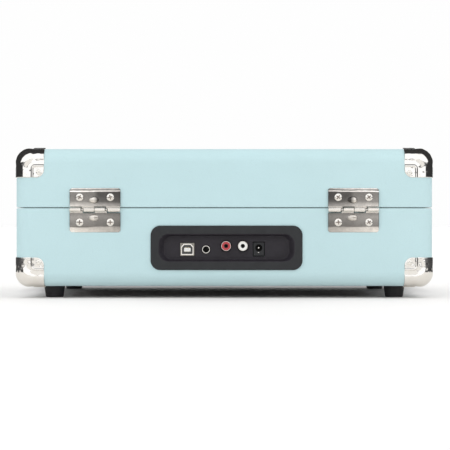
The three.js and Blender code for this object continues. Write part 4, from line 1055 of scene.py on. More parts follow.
# ------------------------------------------------------------------ underside: a fibre panel let into the covering
g = Geo().add(loft(262, 166, 6, [(0.5, Z0 + 0.05), (0.0, Z0 - 0.1), (0.0, Z0 - 0.35), (0.25, Z0 - 0.6), (0.6, Z0 - 0.62), (3, Z0 - 0.62), (3.3, Z0 - 0.5), (3.9, Z0 - 0.5), (4.2, Z0 - 0.62)], 6))
for sx in (-1, 0, 1):
    for sy in (-1, 1):
        g.add(flathead(2.3, 0.7), [1 + i for i in SCREW_IDS], facing(sx * 121, sy * 74, Z0 - 0.6, "down", random.uniform(0, 90)))
make("underside_panel", g, [M_FIBRE, M_SCREW, M_RECESS_SHADE], "base", angle=35)

# ------------------------------------------------------------------ loudspeaker grilles
for s, label in ((-1, "left"), (1, "right")):
    slots = [soften([(-19.6, z - 1.3), (19.6, z - 1.3), (19.6, z + 1.3), (-19.6, z + 1.3)], 1.25, 4) for z in (-9.6, -4.8, 0.0, 4.8, 9.6)]
    g = Geo()
    g.add(plate2d([rrect(50, 36, 8, 8)] + slots, -D2 - 1.45, -D2 - 0.25, 0.35, 3), 0, shift(s * GX, 0, GZ, xz))
    g.add(loft(46.5, 32.5, 6.5, [(0, -1.3), (0.3, -1.62), (0.7, -1.62), (1.0, -1.3)], 8, cap0=False, cap1=False), 0, lambda p, s=s: (s * GX + p[0], -D2 + p[2] + 0.15, GZ + p[1]))
    g.add(loft(43.2, 29.2, 5.6, [(0, -0.6), (0, 2.0), (1.2, 2.0), (1.2, 0.6)], 8, cap0=False, cap1=False), 0, lambda p, s=s: (s * GX + p[0], -D2 + p[2], GZ + p[1]))
    make(f"grille_{label}_slotted", g, M_BLACK, "base", f"speaker_grille_{label}", angle=40)
    v, f = loft(43, 29, 5.5, [(0, -0.15), (0, 0.35)], 6)
    make(f"grille_{label}_cloth", Geo().add((v, f), 0, lambda p, s=s: (s * GX + p[0], -D2 + p[2] + 0.6, GZ + p[1])), M_FELT, "base")

# ------------------------------------------------------------------ latches
for s, label in ((-1, "left"), (1, "right")):
    X = s * 82.0
    g = Geo()
    win = soften([(-6.5, -10.5), (6.5, -10.5), (6.5, 6.0), (-6.5, 6.0)], 1.6, 4)
    g.add(plate2d([rrect(27, 34, 3, 6), win], -D2 - 1.45, -D2 - 0.35, 0.3, 3), 0, shift(X, 0, 56.5, xz))
    g.add(plate2d([rrect(25.6, 32.6, 2.4, 6)], -D2 - 0.4, -D2 - 0.02, 0.1, 2), 0, shift(X, 0, 56.5, xz))
    for k in (-1, 1):
        out = soften([(-135.3, 45.9), (-134.9, 43.4), (-133.0, 42.2), (-128.7, 42.2), (-128.7, 48.8), (-133.0, 48.8), (-134.9, 47.8)], [1.2, 1.2, 1.5, 0.1, 0.1, 1.5, 1.2], 4)
        g.add(plate2d([out], 10.6, 12.4, 0.3, 3), 0, lambda p, k=k, X=X: (X + k * p[2], p[0], p[1]))
        g.add(flathead(2.0, 0.85), [1 + i for i in SCREW_IDS], facing(X + k * 9.9, -D2 - 1.4, 69.6, "front", random.uniform(0, 90)))
    g.add(turned([(0, -12.9), (1.9, -12.9), (1.9, -12.45), (1.2, -12.45), (1.2, 12.45), (1.9, 12.45), (1.9, 12.9), (0, 12.9)], 0.25, 24), 0, lambda p, X=X: (X + p[2], -132.5 + p[0], 45.5 + p[1]))
    make(f"latch_plate_{label}_pressed", g, [M_CHROME_LATCH, M_SCREW, M_RECESS_SHADE], "base", f"latch_plate_{label}", angle=40)
    # lever: a bent strip with a curled lip, rolled round its pin
    mid = [(q[0], q[1]) for q in smooth_path([(-132.9, 47.8, 0), (-133.2, 52.0, 0), (-133.45, 60, 0), (-133.85, 70, 0), (-133.9, 80, 0), (-132.6, 88.0, 0), (-131.75, 91.0, 0), (-132.3, 92.7, 0)], 7)]
    half_w = lambda z: 9.4 if z < 84 else 9.4 - 2.6 * ((z - 84) / 8.7) ** 2
    loops = []
    for i, (y, z) in enumerate(mid):
        a, b = mid[max(i - 1, 0)], mid[min(i + 1, len(mid) - 1)]
        t = Vector((b[0] - a[0], b[1] - a[1])).normalized()
        nx, nz = -t.y, t.x
        w = half_w(z)
        th = 0.75
        ring = []
        for x, k in [(-w, -0.5), (-w, 0.5), (-w + 0.35, 1), (-w + 1.3, 1), (-w + 1.9, 0.62), (w - 1.9, 0.62), (w - 1.3, 1), (w - 0.35, 1), (w, 0.5), (w, -0.5), (w - 0.35, -1), (-w + 0.35, -1)]:
            ring.append((x, y + nx * th * k, z + nz * th * k))
        loops.append(ring)
    g = Geo().add(rings(loops), 0, lambda p, X=X: (X + p[0], p[1], p[2]))
    g.add(turned([(1.4, -9.4), (2.7, -9.4), (2.7, 9.4), (1.4, 9.4)], 0.3, 36), 0, lambda p, X=X: (X + p[2], -132.5 + p[0], 45.5 + p[1]))
    make(f"latch_lever_{label}_bent", g, M_CHROME_LATCH, f"latch_{label}", f"latch_lever_{label}", angle=40)
    g = Geo().add(plate2d([rrect(21, 18, 2.5, 5)], -D2 - 1.45, -D2 - 0.3, 0.3, 3), 0, shift(X, 0, 87.5, xz))
    g.add(plate2d([rrect(19.8, 16.8, 2.0, 5)], -D2 - 0.35, -D2 - 0.02, 0.1, 2), 0, shift(X, 0, 87.5, xz))
    g.add(lathe([(0, -8.0), (0.9, -7.9), (1.4, -7.4), (1.5, -6.6), (1.5, 6.6), (1.4, 7.4), (0.9, 7.9), (0, 8.0)], 28), 0, lambda p, X=X: (X + p[2], -D2 - 1.45 + p[0] * 0.98, 87 + p[1]))
    for k in (-1, 1):
        g.add(flathead(1.7, 0.7), [1 + i for i in SCREW_IDS], facing(X + k * 7.4, -D2 - 1.4, 93.2, "front", random.uniform(0, 90)))
    make(f"latch_catch_{label}_pressed", g, [M_CHROME_LATCH, M_SCREW, M_RECESS_SHADE], "lid", f"latch_catch_{label}", angle=40)

# ------------------------------------------------------------------ carrying handle
for s, label in ((-1, "left"), (1, "right")):
    X = s * 50.0
    g = Geo().add(plate2d([rrect(15, 24, 3, 6)], -D2 - 1.5, -D2 - 0.3, 0.35, 3), 0, shift(X, 0, 60, xz))
    g.add(plate2d([rrect(13.8, 22.8, 2.5, 6)], -D2 - 0.35, -D2 - 0.02, 0.1, 2), 0, shift(X, 0, 60, xz))
    eye = [(-128.6, 64.6), (-133.0, 63.9)] + [(-136 + 3.95 * math.cos(rad(a)), 60 + 3.95 * math.sin(rad(a))) for a in range(70, 291, 10)] + [(-133.0, 56.1), (-128.6, 55.4)]
    bore = circle(2.1, 28, -136, 60)
    g.add(plate2d([eye, bore], -3.9, 3.9, 0.35, 3), 0, lambda p, X=X: (X + p[2], p[0], p[1]))
    for k in (-1, 1):
        g.add(flathead(1.9, 0.8), [1 + i for i in SCREW_IDS], facing(X, -D2 - 1.45, 60 + k * 8.7, "front", random.uniform(0, 90)))
    make(f"handle_bracket_{label}_cast", g, [M_CHROME_LATCH, M_SCREW, M_RECESS_SHADE], "base", f"handle_bracket_{label}", angle=40)

path = smooth_path([(-43.7, -136, 62.0), (-43.9, -136, 58), (-43.6, -136, 47), (-40, -136, 36), (-34, -136, 31.2), (-24, -136, 29.0), (0, -136, 28.3),
                    (24, -136, 29.0), (34, -136, 31.2), (40, -136, 36), (43.6, -136, 47), (43.9, -136, 58), (43.7, -136, 62.0)], 6)
strap = soften([(-2.9, -1.55), (2.9, -1.55), (2.9, 1.55), (-2.9, 1.55)], 0.8, 3)
fr = frames(path)
loops = []
for i, (p, t, n, b) in enumerate(fr):
    side_v = Vector((0, 1, 0))
    up_v = t.cross(side_v).normalized()
    loops.append([tuple(p + side_v * a + up_v * c) for a, c in strap])
g = Geo().add(rings(loops), 0)
for s in (-1, 1):
    # the strap's end folded round its pin, with a rivet below it
    g.add(turned([(1.75, -1.5), (3.3, -1.5), (3.3, 1.5), (1.75, 1.5)], 0.5, 36), 0, lambda p, s=s: (s * 43.7 + p[2], -136 + p[0], 60 + p[1]))
    g.add(turned([(0, -5.0), (1.65, -5.0), (1.65, 5.0), (0, 5.0)], 0.3, 24), 1, lambda p, s=s: (s * 48.3 + p[2], -136 + p[0], 60 + p[1]))
    for yk in (-1, 1):
        g.add(lathe([(0, 0.55), (0.9, 0.45), (1.35, 0.1), (1.4, -0.3), (0, -0.3)], 20), 1, lambda p, s=s, yk=yk: (s * 43.75 + p[0], -136 + yk * (2.85 + p[2]), 52.0 + p[1]))
make("handle_strap", g, [M_LEATHER_HANDLE, M_CHROME_LATCH], "handle", "handle_grip", angle=50)

stations = [(38.9, 0.0), (38.85, 2.6), (38.6, 3.6), (38.0, 4.25), (37.0, 4.7), (35.5, 5.15), (33.5, 5.55), (31, 5.85), (27, 6.1), (22, 6.28), (16, 6.38), (9, 6.42), (3, 6.44)]
stations = [(-x, r) for x, r in stations] + [(x, r) for x, r in reversed(stations)]


def pad_centre(x):
    return 28.6 + 2.2 * (abs(x) / 38.0) ** 3.2


def pad_skin(x, r, a):
    """A padded sleeve: crowned, pulled in along its sewn channels, wrinkled towards its ends."""
    seam = 0.0
    for q in (rad(146), rad(-146)):
        d = (a - q + math.pi) % (2 * math.pi) - math.pi
        seam += 0.42 * math.exp(-((d / 0.11) ** 2))
    wr = 0.10 * math.sin(0.9 * x + 2.5 * math.sin(a)) * (abs(x) / 38.0) ** 4
    k = max(0.0, min(1.0, r / 4.0))
    rr = max(0.0, r - 0.18 - seam * k + wr * k)
    return (x, -136 + rr * math.cos(a), pad_centre(x) + 1.16 * rr * math.sin(a))


NP = 72
xs = []
for (x0, r0), (x1, r1) in zip(stations, stations[1:]):
    steps = 1 if abs(x1 - x0) < 1.2 else int(abs(x1 - x0) / 1.1) + 1
    xs += [(x0 + (x1 - x0) * k / steps, r0 + (r1 - r0) * k / steps) for k in range(steps)]
xs.append(stations[-1])
g = Geo().add(rings([[pad_skin(x, r, 2 * math.pi * j / NP) for j in range(NP)] for x, r in xs], False, False))
pad = make("handle_pad", g, M_LEATHER_HANDLE, "handle", angle=60)
g = Geo()
cap = [(0, 0), (0.16, 0.05), (0.26, 0.2), (0.29, 0.5), (0.29, 1.9), (0.26, 2.2), (0.16, 2.35), (0, 2.4)]
for q in (rad(146), rad(-146)):
    x = -35.0
    while x < 34:
        r = 6.4 if abs(x) < 26 else 6.4 - 1.25 * ((abs(x) - 26) / 12) ** 1.4
        a, b = Vector(pad_skin(x, r, q + 0.0)), Vector(pad_skin(x + 2.4, r, q + 0.0))
        out_v = Vector((0, math.cos(q), math.sin(q)))
        ln = lathe(cap, 10)
        d = (b - a).normalized()
        side_v = d.cross(out_v).normalized()
        g.add(ln, 0, lambda p, a=a, d=d, s_=side_v, o=out_v: tuple(a + d * p[2] + s_ * p[0] + o * (p[1] + 0.12)))
        x += 3.1
make("handle_stitches", g, M_THREAD, "handle", angle=60)

# ------------------------------------------------------------------ deck
SX, SY = -42.0, 0.0
MX, MY = -99.98, 57.98
CX, CY = 105.26, 54.48
PX, PY = 118.0, 86.0
deck_out = rrect(2 * 168.4, 2 * 120.9, 5.6, 6)
slots = [soften([(147.9, 27.6), (152.1, 27.6), (152.1, 52.4), (147.9, 52.4)], 1.0, 3), soften([(148.4, -5.4), (151.6, -5.4), (151.6, 7.4), (148.4, 7.4)], 0.9, 3)]
g = Geo()
g.add(plate2d([deck_out, circle(100.9, 128, SX, SY), circle(19.5, 56, -143, 97)] + slots, 65.0, 67.95, 0.3, 3), 0)
# the platter's well, with a stepped floor
g.add(lathe(soften([(102.5, 65.0), (102.5, 66.2), (100.8, 66.2), (100.4, 66.75), (60, 66.75), (59, 66.55), (40, 66.55), (39, 66.75), (10.5, 66.75), (10.5, 65.0)], 0.25, 3), 128), 0, shift(SX, SY, 0))
g.add(lathe(soften([(20.6, 64.9), (20.6, 66.3), (19.4, 66.3), (19.2, 65.95), (5.0, 65.95), (3.9, 66.3), (3.1, 66.9), (3.1, 70.9), (2.6, 71.35), (0, 71.35), (0, 64.9)], [0.2, 0.2, 0.2, 0.2, 0.6, 0.3, 0.3, 0.3, 0.3, 0, 0], 3), 56), 0, shift(-143, 97, 0))
g.add(lathe(soften([(0, 74.3), (2.6, 74.3), (2.6, 75.0), (4.4, 75.0), (5.1, 74.3), (5.1, 70.5), (6.2, 68.3), (6.8, 67.6), (0, 67.6)], [0, 0.1, 0.2, 0.4, 0.3, 1.2, 0.4, 0, 0], 3), 40), 0, shift(CX, CY, 0))
for x, y in ((146, -92), (146, -60)):
    g.add(lathe(soften([(0, 68.3), (3.2, 68.3), (3.2, 67.9), (13.0, 67.9), (13.6, 68.35), (14.2, 68.35), (14.6, 67.8), (0, 67.8)] if y == -92 else [(0, 68.3), (3.2, 68.3), (3.2, 67.9), (10.4, 67.9), (11.0, 68.35), (11.6, 68.35), (12.0, 67.8), (0, 67.8)], [0, 0.1, 0.1, 0.3, 0.2, 0.2, 0.2, 0], 3), 56), 0, shift(x, y, 0))
for x, y, w, h in ((146, -92, 9, 8), (146, -60, 9, 8), (150, 40, 7, 15), (150, 1, 6, 9)):
    g.add(rbox(x - w, x + w, y - h, y + h, 59.6, 65.2, 0.6, 2), 0)
# the recessed border round the controls
for x0, x1, y0, y1 in ((127.5, 163.5, -110, -42),):
    g.add(loft(x1 - x0, y1 - y0, 4, [(0, 67.8), (0, 68.15), (0.3, 68.3), (0.8, 68.3), (1.1, 68.15), (1.1, 67.8)], 6, (x0 + x1) / 2, (y0 + y1) / 2, cap0=False, cap1=False), 0)
for x, y in ((-160, -112), (160, -115), (-160, 70), (163, 112), (20, 114), (-118, -112), (60, -114)):
    g.add(flathead(2.3, 0.9), [1 + i for i in SCREW_IDS], facing(x, y, 67.85, "up", random.uniform(0, 90)))
# lamp
g.add(turned([(0, 70.1), (1.2, 69.9), (1.9, 69.2), (2.0, 67.7), (0, 67.7)], 0.3, 24), 3, shift(146, -75.8, 0))
g.add(turned([(2.0, 67.8), (2.0, 68.5), (2.9, 68.5), (3.0, 67.8)], 0.15, 28), 0, shift(146, -75.8, 0))
deck = make("deck_moulded", g, [M_BLACK, M_SCREW, M_RECESS_SHADE, M_LAMP], "base", "deck_plate", angle=38)


def legend(text, x, y, size, turn=0.0):
    cu = bpy.data.curves.new("legend", "FONT")
    cu.body, cu.size, cu.extrude, cu.align_x, cu.align_y = text, size, 0.03, "CENTER", "CENTER"
    ob = bpy.data.objects.new("legend", cu)
    bpy.context.scene.collection.objects.link(ob)
    bpy.context.view_layer.update()
    me = bpy.data.meshes.new_from_object(ob.evaluated_get(bpy.context.evaluated_depsgraph_get()))
    r = spun(turn)
    v = [tuple(Vector(r(tuple(q.co))) + Vector((x, y, 67.985))) for q in me.vertices]
    f = [list(p.vertices) for p in me.polygons]
    bpy.data.meshes.remove(me)
    bpy.data.objects.remove(ob)
    bpy.data.curves.remove(cu)
    return v, f


g = Geo()
for t, y in (("33", 32), ("45", 40), ("78", 48)):
    g.add(legend(t, 158.2, y, 4.2, -90))
    g.add(rbox(153.3, 155.3, y - 0.2, y + 0.2, 67.9, 68.02, 0.02, 1))
for i in range(11):  # dial marks round the volume knob
    a = rad(-50 + 280 * i / 10 * 1.0)
    r0, r1 = 15.6, 17.4 if i % 5 else 18.4
    v, f = rbox(r0, r1, -0.2, 0.2, 67.9, 68.02, 0.02, 1)
    g.add((v, f), 0, lambda p, a=a: (146 + p[0] * math.cos(a) - p[1] * math.sin(a), -92 + p[0] * math.sin(a) + p[1] * math.cos(a), p[2]))
for i in range(3):
    a = rad(60 + 30 * i)
    g.add(turned([(0, 68.03), (0.55, 68.03), (0.55, 67.9), (0, 67.9)], 0.02, 14, (146 + 13.6 * math.cos(a), -60 + 13.6 * math.sin(a), 0)))
make("deck_legends", g, M_INK, "base", angle=30)

# spindle, platter and mat
g = Geo().add(lathe(soften([(0, 67.15), (9, 67.15), (9, 69.5), (4.6, 69.5), (3.6, 70.3), (3.6, 89.6), (3.2, 91.2), (1.6, 92.45), (0, 92.5)], [0, 0.3, 0.5, 0.3, 0.3, 1.0, 1.0, 0.6, 0], 4), 48), 0, shift(SX, SY, 0))
make("spindle_turned", g, M_STEEL, "base", "spindle", angle=35)


def rib(r, z, a):
    return -0.28 * (0.5 + 0.5 * math.cos(a * 90)) if r > 97.6 and 72.3 < z < 80.3 else 0.0


prof = soften([(4.1, 81.45), (4.1, 70.7), (8.9, 70.7), (8.9, 78.9), (63.1, 78.9), (63.1, 71.3), (65.9, 71.3), (65.9, 78.9), (95.4, 78.9), (95.4, 71.3), (97.3, 71.3), (97.9, 72.0),
               (97.9, 72.4), (97.9, 80.2), (97.9, 80.6), (97.1, 81.4), (96.6, 81.4), (96.3, 81.2), (14, 81.2), (13.5, 81.45)], [0.3, 0.3, 0.4, 0.5, 0.8, 0.3, 0.3, 0.8, 0.8, 0.3, 0.3, 0.3, 0, 0, 0.3, 0.4, 0.2, 0.2, 0.2, 0.2], 3)
g = Geo().add(lathe(prof, 720, wobble=rib), 0, shift(SX, SY, 0))
make("platter_ribbed", g, M_GLOSS, "platter", "platter", angle=30)
prof = soften([(3.95, 81.75), (95.8, 81.75), (95.8, 83.2), (3.95, 83.2)], [0.2, 0.5, 0.6, 0.4], 3)
g = Geo().add(lathe(prof, 160, wobble=lambda r, z, a: 0.06 * math.sin(23 * a) + 0.05 * math.sin(57 * a + 1) if r > 90 else 0.0), 0, shift(SX, SY, 0))
make("mat_felt", g, M_FELT, "platter", "slip_mat", angle=50)

# motor pulley: two steps and a crowned rim
prof = soften([(1.1, 71.6), (5.9, 71.6), (5.9, 72.6), (4.95, 73.0), (5.05, 75.0), (4.95, 77.0), (5.9, 77.4), (5.9, 78.3), (1.1, 78.3)], [0.1, 0.3, 0.2, 0.3, 0, 0.3, 0.2, 0.3, 0.1], 3)
g = Geo().add(lathe(prof, 48), 0, shift(MX, MY, 0))
make("pulley_turned", g, M_BRASS, "pulley", "motor_pulley", angle=35)

# adapter
prof = soften([(3.85, 66.4), (18.9, 66.4), (18.9, 70.8), (17.4, 72.4), (9.2, 72.4), (8.0, 71.1), (5.4, 71.1), (4.4, 71.9), (3.85, 71.9)], [0.2, 0.5, 0.6, 0.5, 0.5, 0.4, 0.3, 0.2, 0.2], 4)
g = Geo().add(lathe(prof, 72, wobble=lambda r, z, a: -0.22 * max(0.0, math.cos(3 * a)) ** 24 * 6 if 9 < r < 17.3 and z > 71.9 else 0.0), 0, shift(-143, 97, 0))
make("adapter_turned", g, M_IVORY, "adapter", "adapter_45", angle=35)

# knobs
for name, x, y, r, top, body, flutes in (("volume", 146, -92, 10.9, 77.8, "volume_knob", 24), ("source", 146, -60, 8.4, 76.8, "source_knob", 20)):
    def flute(rr, z, a, r=r, top=top, flutes=flutes):
        return -0.32 * (0.5 - 0.5 * math.cos(a * flutes)) ** 1.5 if rr > r - 0.5 and 70.2 < z < top - 1.0 else 0.0
    prof = soften([(0, 68.6), (r - 0.6, 68.6), (r - 0.1, 69.1), (r, 70.0), (r, 70.4), (r - 0.25, top - 1.2), (r - 0.3, top - 0.8), (r - 1.0, top - 0.05), (r - 1.8, top), (r - 2.4, top - 0.35), (r - 3.2, top - 0.45), (0, top - 0.3)],
                  [0, 0.3, 0.3, 0, 0, 0, 0, 0.4, 0.3, 0.2, 0.2, 0], 4)
    g = Geo().add(lathe(prof, flutes * 10, wobble=flute), 0, shift(x, y, 0))
    a = rad(230) if name == "volume" else rad(120)
    v, f = rbox(r - 5.2, r - 2.2, -0.45, 0.45, top - 0.6, top - 0.06, 0.15, 2)
    g.add((v, f), 1, lambda p, a=a, x=x, y=y: (x + p[0] * math.cos(a) - p[1] * math.sin(a), y + p[0] * math.sin(a) + p[1] * math.cos(a), p[2]))
    g.add(lathe([(0, 61.3), (2.9, 61.3), (2.9, 68.8), (0, 68.8)], 24), 0, shift(x, y, 0))
    g.add(turned([(r - 2.45, top - 0.5), (r - 2.45, top - 0.12), (r - 2.05, top - 0.02), (r - 1.7, top - 0.02), (r - 1.7, top - 0.5)], 0.1, 56), 2, shift(x, y, 0))
    make(f"{name}_knob_fluted", g, [M_GLOSS, M_INK, M_CHROME_LATCH], body, f"{name}_knob", angle=35)
for name, x, y, sw, sh, w, h, topz, finz, zs in (("speed", 150, 32, 1.65, 2.5, 4.4, 3.1, 72.0, 74.9, 61.3), ("autostop", 150, -2, 1.25, 1.9, 3.3, 2.7, 71.4, None, 61.3)):
    g = Geo().add(rbox(x - sw, x + sw, y - sh, y + sh, zs, 69.0, 0.2, 2))
    g.add(loft(2 * w, 2 * h, 1.2, [(0.5, 68.5), (0.1, 68.7), (0, 69.2), (0.1, topz - 1.0), (0.45, topz - 0.25), (1.1, topz), (1.8, topz)], 5, x, y))
    if finz:
        g.add(loft(7.0, 1.9, 0.8, [(0, topz - 0.4), (0.1, finz - 0.7), (0.35, finz - 0.12), (0.7, finz)], 5, x, y))
    else:
        for k in (-1.4, 0, 1.4):
            g.add(loft(5.4, 0.5, 0.2, [(0, topz - 0.2), (0.02, topz + 0.02), (0.15, topz + 0.09)], 3, x, y + k))
    make(f"{name}_slider_cap", g, M_GLOSS, f"{name}_slider", f"{name}_slider", angle=35)

# ------------------------------------------------------------------ tonearm
g = Geo()
g.add(turned([(0, 68.35), (16.9, 68.35), (16.9, 69.4), (16.2, 70.1), (15.0, 71.2), (14.9, 77.5), (14.2, 78.1), (4.4, 78.1), (4.4, 76.5), (0, 76.5)], [0, 0.2, 0.3, 0.6, 0.8, 0.4, 0.3, 0.2, 0.2, 0], 72), 0, shift(PX, PY, 0))
g.add(turned([(13.0, 78.05), (13.0, 78.25), (13.7, 78.25), (13.7, 78.05)], 0.05, 72), 1, shift(PX, PY, 0))
blk = soften([(78.1, 68.4), (86.9, 68.4), (86.9, 76.6), (85.0, 78.2), (80.0, 78.2), (78.1, 76.6)], [0.2, 0.2, 0.8, 0.8, 0.8, 0.8], 3)
g.add(plate2d([blk, circle(1.9, 28, 82, 74.6)], 127.1, 137.9, 0.3, 3), 0, lambda p: (p[2], p[0], p[1]))
for a in (60, 180, 300):
    g.add(flathead(1.7, 0.8), [2 + i for i in SCREW_IDS], facing(PX + 11 * math.cos(rad(a)), PY + 11 * math.sin(rad(a)), 78.0, "up", a))
make("arm_base_moulded", g, [M_BLACK, M_CHROME_LATCH, M_SCREW, M_RECESS_SHADE], "base", "tonearm_base", angle=38)

g = Geo()
g.add(turned([(0, 71.6), (3.9, 71.6), (3.9, 79.4), (13.6, 79.6), (13.9, 80.2), (13.9, 81.3), (13.3, 81.95), (0, 81.95)], [0, 0.3, 0.4, 0.3, 0.3, 0.3, 0.4, 0], 64), 0, shift(PX, PY, 0))
for k in (-1, 1):
    ear = soften([(PY - 5.9, 81.4), (PY + 5.9, 81.4), (PY + 5.2, 92.0), (PY + 3.0, 97.9), (PY - 3.0, 97.9), (PY - 5.2, 92.0)], [0.2, 0.2, 2.0, 2.0, 2.0, 2.0], 5)
    g.add(plate2d([ear], 8.5, 11.3, 0.45, 3), 0, lambda p, k=k: (PX + k * p[2], p[0], p[1]))
    g.add(turned([(0, 11.2), (2.2, 11.2), (2.1, 11.7), (1.3, 11.95), (0, 12.0)], 0.2, 28), 1, lambda p, k=k: (PX + k * p[2] * 0.985, PY + p[0], 92 + p[1]))
make("arm_yoke_moulded", g, [M_BLACK, M_CHROME_LATCH], "arm_turret", "tonearm_yoke", angle=38)

g = Geo()
tube = [(PX, 106, 92), (PX, 92, 92), (PX, 80, 92), (PX, 40, 92), (PX, 0, 92), (PX, -40, 92), (PX, -70, 92), (PX, -80, 92)]
g.add(sweep(tube, circle(2.95, 32)), 0)
g.add(turned([(2.9, -1.4), (3.25, -1.2), (3.25, 1.2), (2.9, 1.4)], 0.2, 36), 1, lambda p: (PX + p[0], -72 + p[2], 92 + p[1]))
g.add(rbox(PX - 5.4, PX + 5.4, PY - 4.9, PY + 4.9, 88.1, 95.9, 1.3, 4), 0)
g.add(turned([(0, -8.3), (1.35, -8.3), (1.35, 8.3), (0, 8.3)], 0.3, 20), 1, lambda p: (PX + p[2], PY + p[0], 92 + p[1]))
cw = lambda r, z, a: -0.22 * (0.5 - 0.5 * math.cos(a * 30)) if r > 7.3 and 103.2 < z < 112.3 else 0.0
g.add(lathe(soften([(0, 99.1), (6.6, 99.1), (7.3, 99.8), (7.3, 102.4), (6.7, 102.8), (6.7, 103.1), (7.5, 103.4), (7.5, 112.2), (6.9, 112.8), (5.4, 112.9), (5.0, 112.4), (0, 112.4)], [0, 0.4, 0.4, 0.2, 0.1, 0.1, 0.2, 0.3, 0.3, 0.2, 0.2, 0], 3), 180, wobble=cw), 0, lambda p: (PX + p[0], p[2], 92 + p[1]))
hs = soften([(-4, 4), (4, 4), (7.3, -8), (7.3, -32.6), (4, -35.8), (-4, -35.8), (-7.3, -32.6), (-7.3, -8)], [1.5, 1.5, 4, 2.5, 1.5, 1.5, 2.5, 4], 5)
turn_hs = spun(-20, "z", (PX, -80, 0))
g.add(plate2d([hs], 89.1, 93.9, 0.9, 4), 0, lambda p: turn_hs((PX + p[0], -80 + p[1], p[2])))
g.add(plate2d([soften([(-5.2, -9.5), (5.2, -9.5), (5.2, -31.5), (-5.2, -31.5)], 1.2, 3), soften([(-4.7, -10), (4.7, -10), (4.7, -31), (-4.7, -31)], 1.0, 3)], 93.8, 94.12, 0.08, 2), 0, lambda p: turn_hs((PX + p[0], -80 + p[1], p[2])))
lift = [(6.4, -24, 90.5), (9, -24, 90.5), (11.8, -24, 90.4), (13.6, -24, 90.25), (14.7, -24, 90.7)]
g.add(sweep(smooth_path(lift, 4), soften([(-0.5, -1.8), (0.5, -1.8), (0.5, 1.8), (-0.5, 1.8)], 0.4, 3)), 1, lambda p: turn_hs((PX + p[0], -80 + p[1], p[2])))
for k in (-1, 1):
    g.add(flathead(1.3, 0.35), [2 + i for i in SCREW_IDS], lambda p, k=k: turn_hs((PX + k * 2.6 + p[0], -100 + p[1], 93.75 + p[2])))
make("arm_tube_drawn", g, [M_BLACK, M_CHROME_LATCH, M_SCREW, M_RECESS_SHADE], "tonearm", "tonearm_tube", angle=38)

g = Geo()
body = [(0.6, 85.7), (0.15, 85.9), (0, 86.4), (0, 88.3), (0.2, 88.65)]
g.add(loft(11.5, 18.8, 1.6, body, 5, 0, -21.5), 0, lambda p: turn_hs((PX + p[0], -80 + p[1], p[2])))
g.add(loft(8.2, 9.8, 1.2, [(0.5, 85.15), (0.1, 85.35), (0, 85.9)], 5, 0, -27.0), 1, lambda p: turn_hs((PX + p[0], -80 + p[1], p[2])))
g.add(sweep([(0, -24, 85.35), (0, -27, 84.95), (0, -28.2, 84.75)], circle(0.28, 12)), 2, lambda p: turn_hs((PX + p[0], -80 + p[1], p[2])))
g.add(lathe([(0, 84.25), (0.12, 84.4), (0.3, 84.75), (0, 84.9)], 12), 3, lambda p: turn_hs((PX + p[0], -107.7 + p[1], p[2])))
make("cartridge_moulded", g, [M_BLACK, M_CART, M_STEEL, M_IVORY], "tonearm", "cartridge", angle=38)

# cueing
g = Geo()
g.add(turned([(0, 130.6), (1.45, 130.6), (1.45, 139), (2.9, 139), (2.9, 142.4), (0, 142.4)], 0.25, 28), 0, lambda p: (p[2], 82 + p[0], 74.6 + p[1]))
lev = [(140.6, 82.5, 74.6), (140.6, 76, 74.6), (140.6, 66, 74.6), (140.6, 56, 74.6), (140.6, 53.5, 74.5)]
g.add(sweep(smooth_path(lev, 4), soften([(-1.3, -1.5), (1.3, -1.5), (1.3, 1.5), (-1.3, 1.5)], 0.6, 3)), 0)
g.add(rbox(137.7, 143.5, 48.1, 55.9, 72.8, 75.9, 1.1, 4), 0)
for i in range(4):
    g.add(rbox(138.6, 142.6, 49.4 + i * 1.5, 50.0 + i * 1.5, 75.7, 76.0, 0.1, 1), 0)
make("cue_lever_moulded", g, M_BLACK, "cue_lever", "cue_lever", angle=38)

g = Geo()
loops = []
na = 40
sec = soften([(32.5, 85.7), (35.5, 85.7), (35.5, 88.2), (32.5, 88.2)], 0.5, 3)
for i in range(na + 1):
    a = -0.115 + 1.03 * i / na
    loops.append([(PX - r * math.sin(a), PY - r * math.cos(a), z) for r, z in sec])
g.add(rings(loops), 1)
g.add(turned([(0, 67.2), (2.4, 67.2), (2.4, 84.4), (3.4, 85.4), (3.4, 85.9), (0, 85.9)], 0.3, 28), 0, shift(CX, CY, 0))
make("cue_lifter_moulded", g, [M_STEEL, M_RUBBER], "cue_lifter", "cue_lifter", angle=38)

# arm rest and clip
g = Geo()
g.add(turned([(0, 68.35), (7.9, 68.35), (7.9, 69.3), (7.2, 70.0), (4.4, 71.0), (3.9, 73.0), (3.9, 85.8), (0, 85.8)], [0, 0.2, 0.3, 0.5, 1.0, 1.0, 0.2, 0], 40), 0, shift(120, -20, 0))
g.add(rbox(112.1, 125.9, -24.5, -15.5, 85.65, 88.4, 0.7, 3), 0)
g.add(rbox(122.3, 125.9, -24.5, -15.5, 87.6, 95.3, 0.7, 3), 0)
g.add(loft(1.6, 9.0, 0.7, [(0, 88.0), (0, 89.9), (0.3, 90.3)], 3, 112.9, -20), 0)
for k in (-1, 1):
    earp = soften([(122.4, 94.8), (125.8, 94.8), (125.8, 98.0), (124.1, 99.3), (122.4, 98.0)], [0.1, 0.1, 0.9, 0.9, 0.9], 3)
    ylo = -24.5 if k < 0 else -16.8
    g.add(plate2d([earp], ylo, ylo + 1.3, 0.3, 2), 0, xz)
make("arm_rest_moulded", g, M_BLACK, "base", "arm_rest", angle=38)
g = Geo()
g.add(turned([(0, -2.7), (1.6, -2.7), (1.6, 2.7), (0, 2.7)], 0.25, 28), 0, lambda p: (124.1 + p[0], -20 + p[2], 97.4 + p[1]))
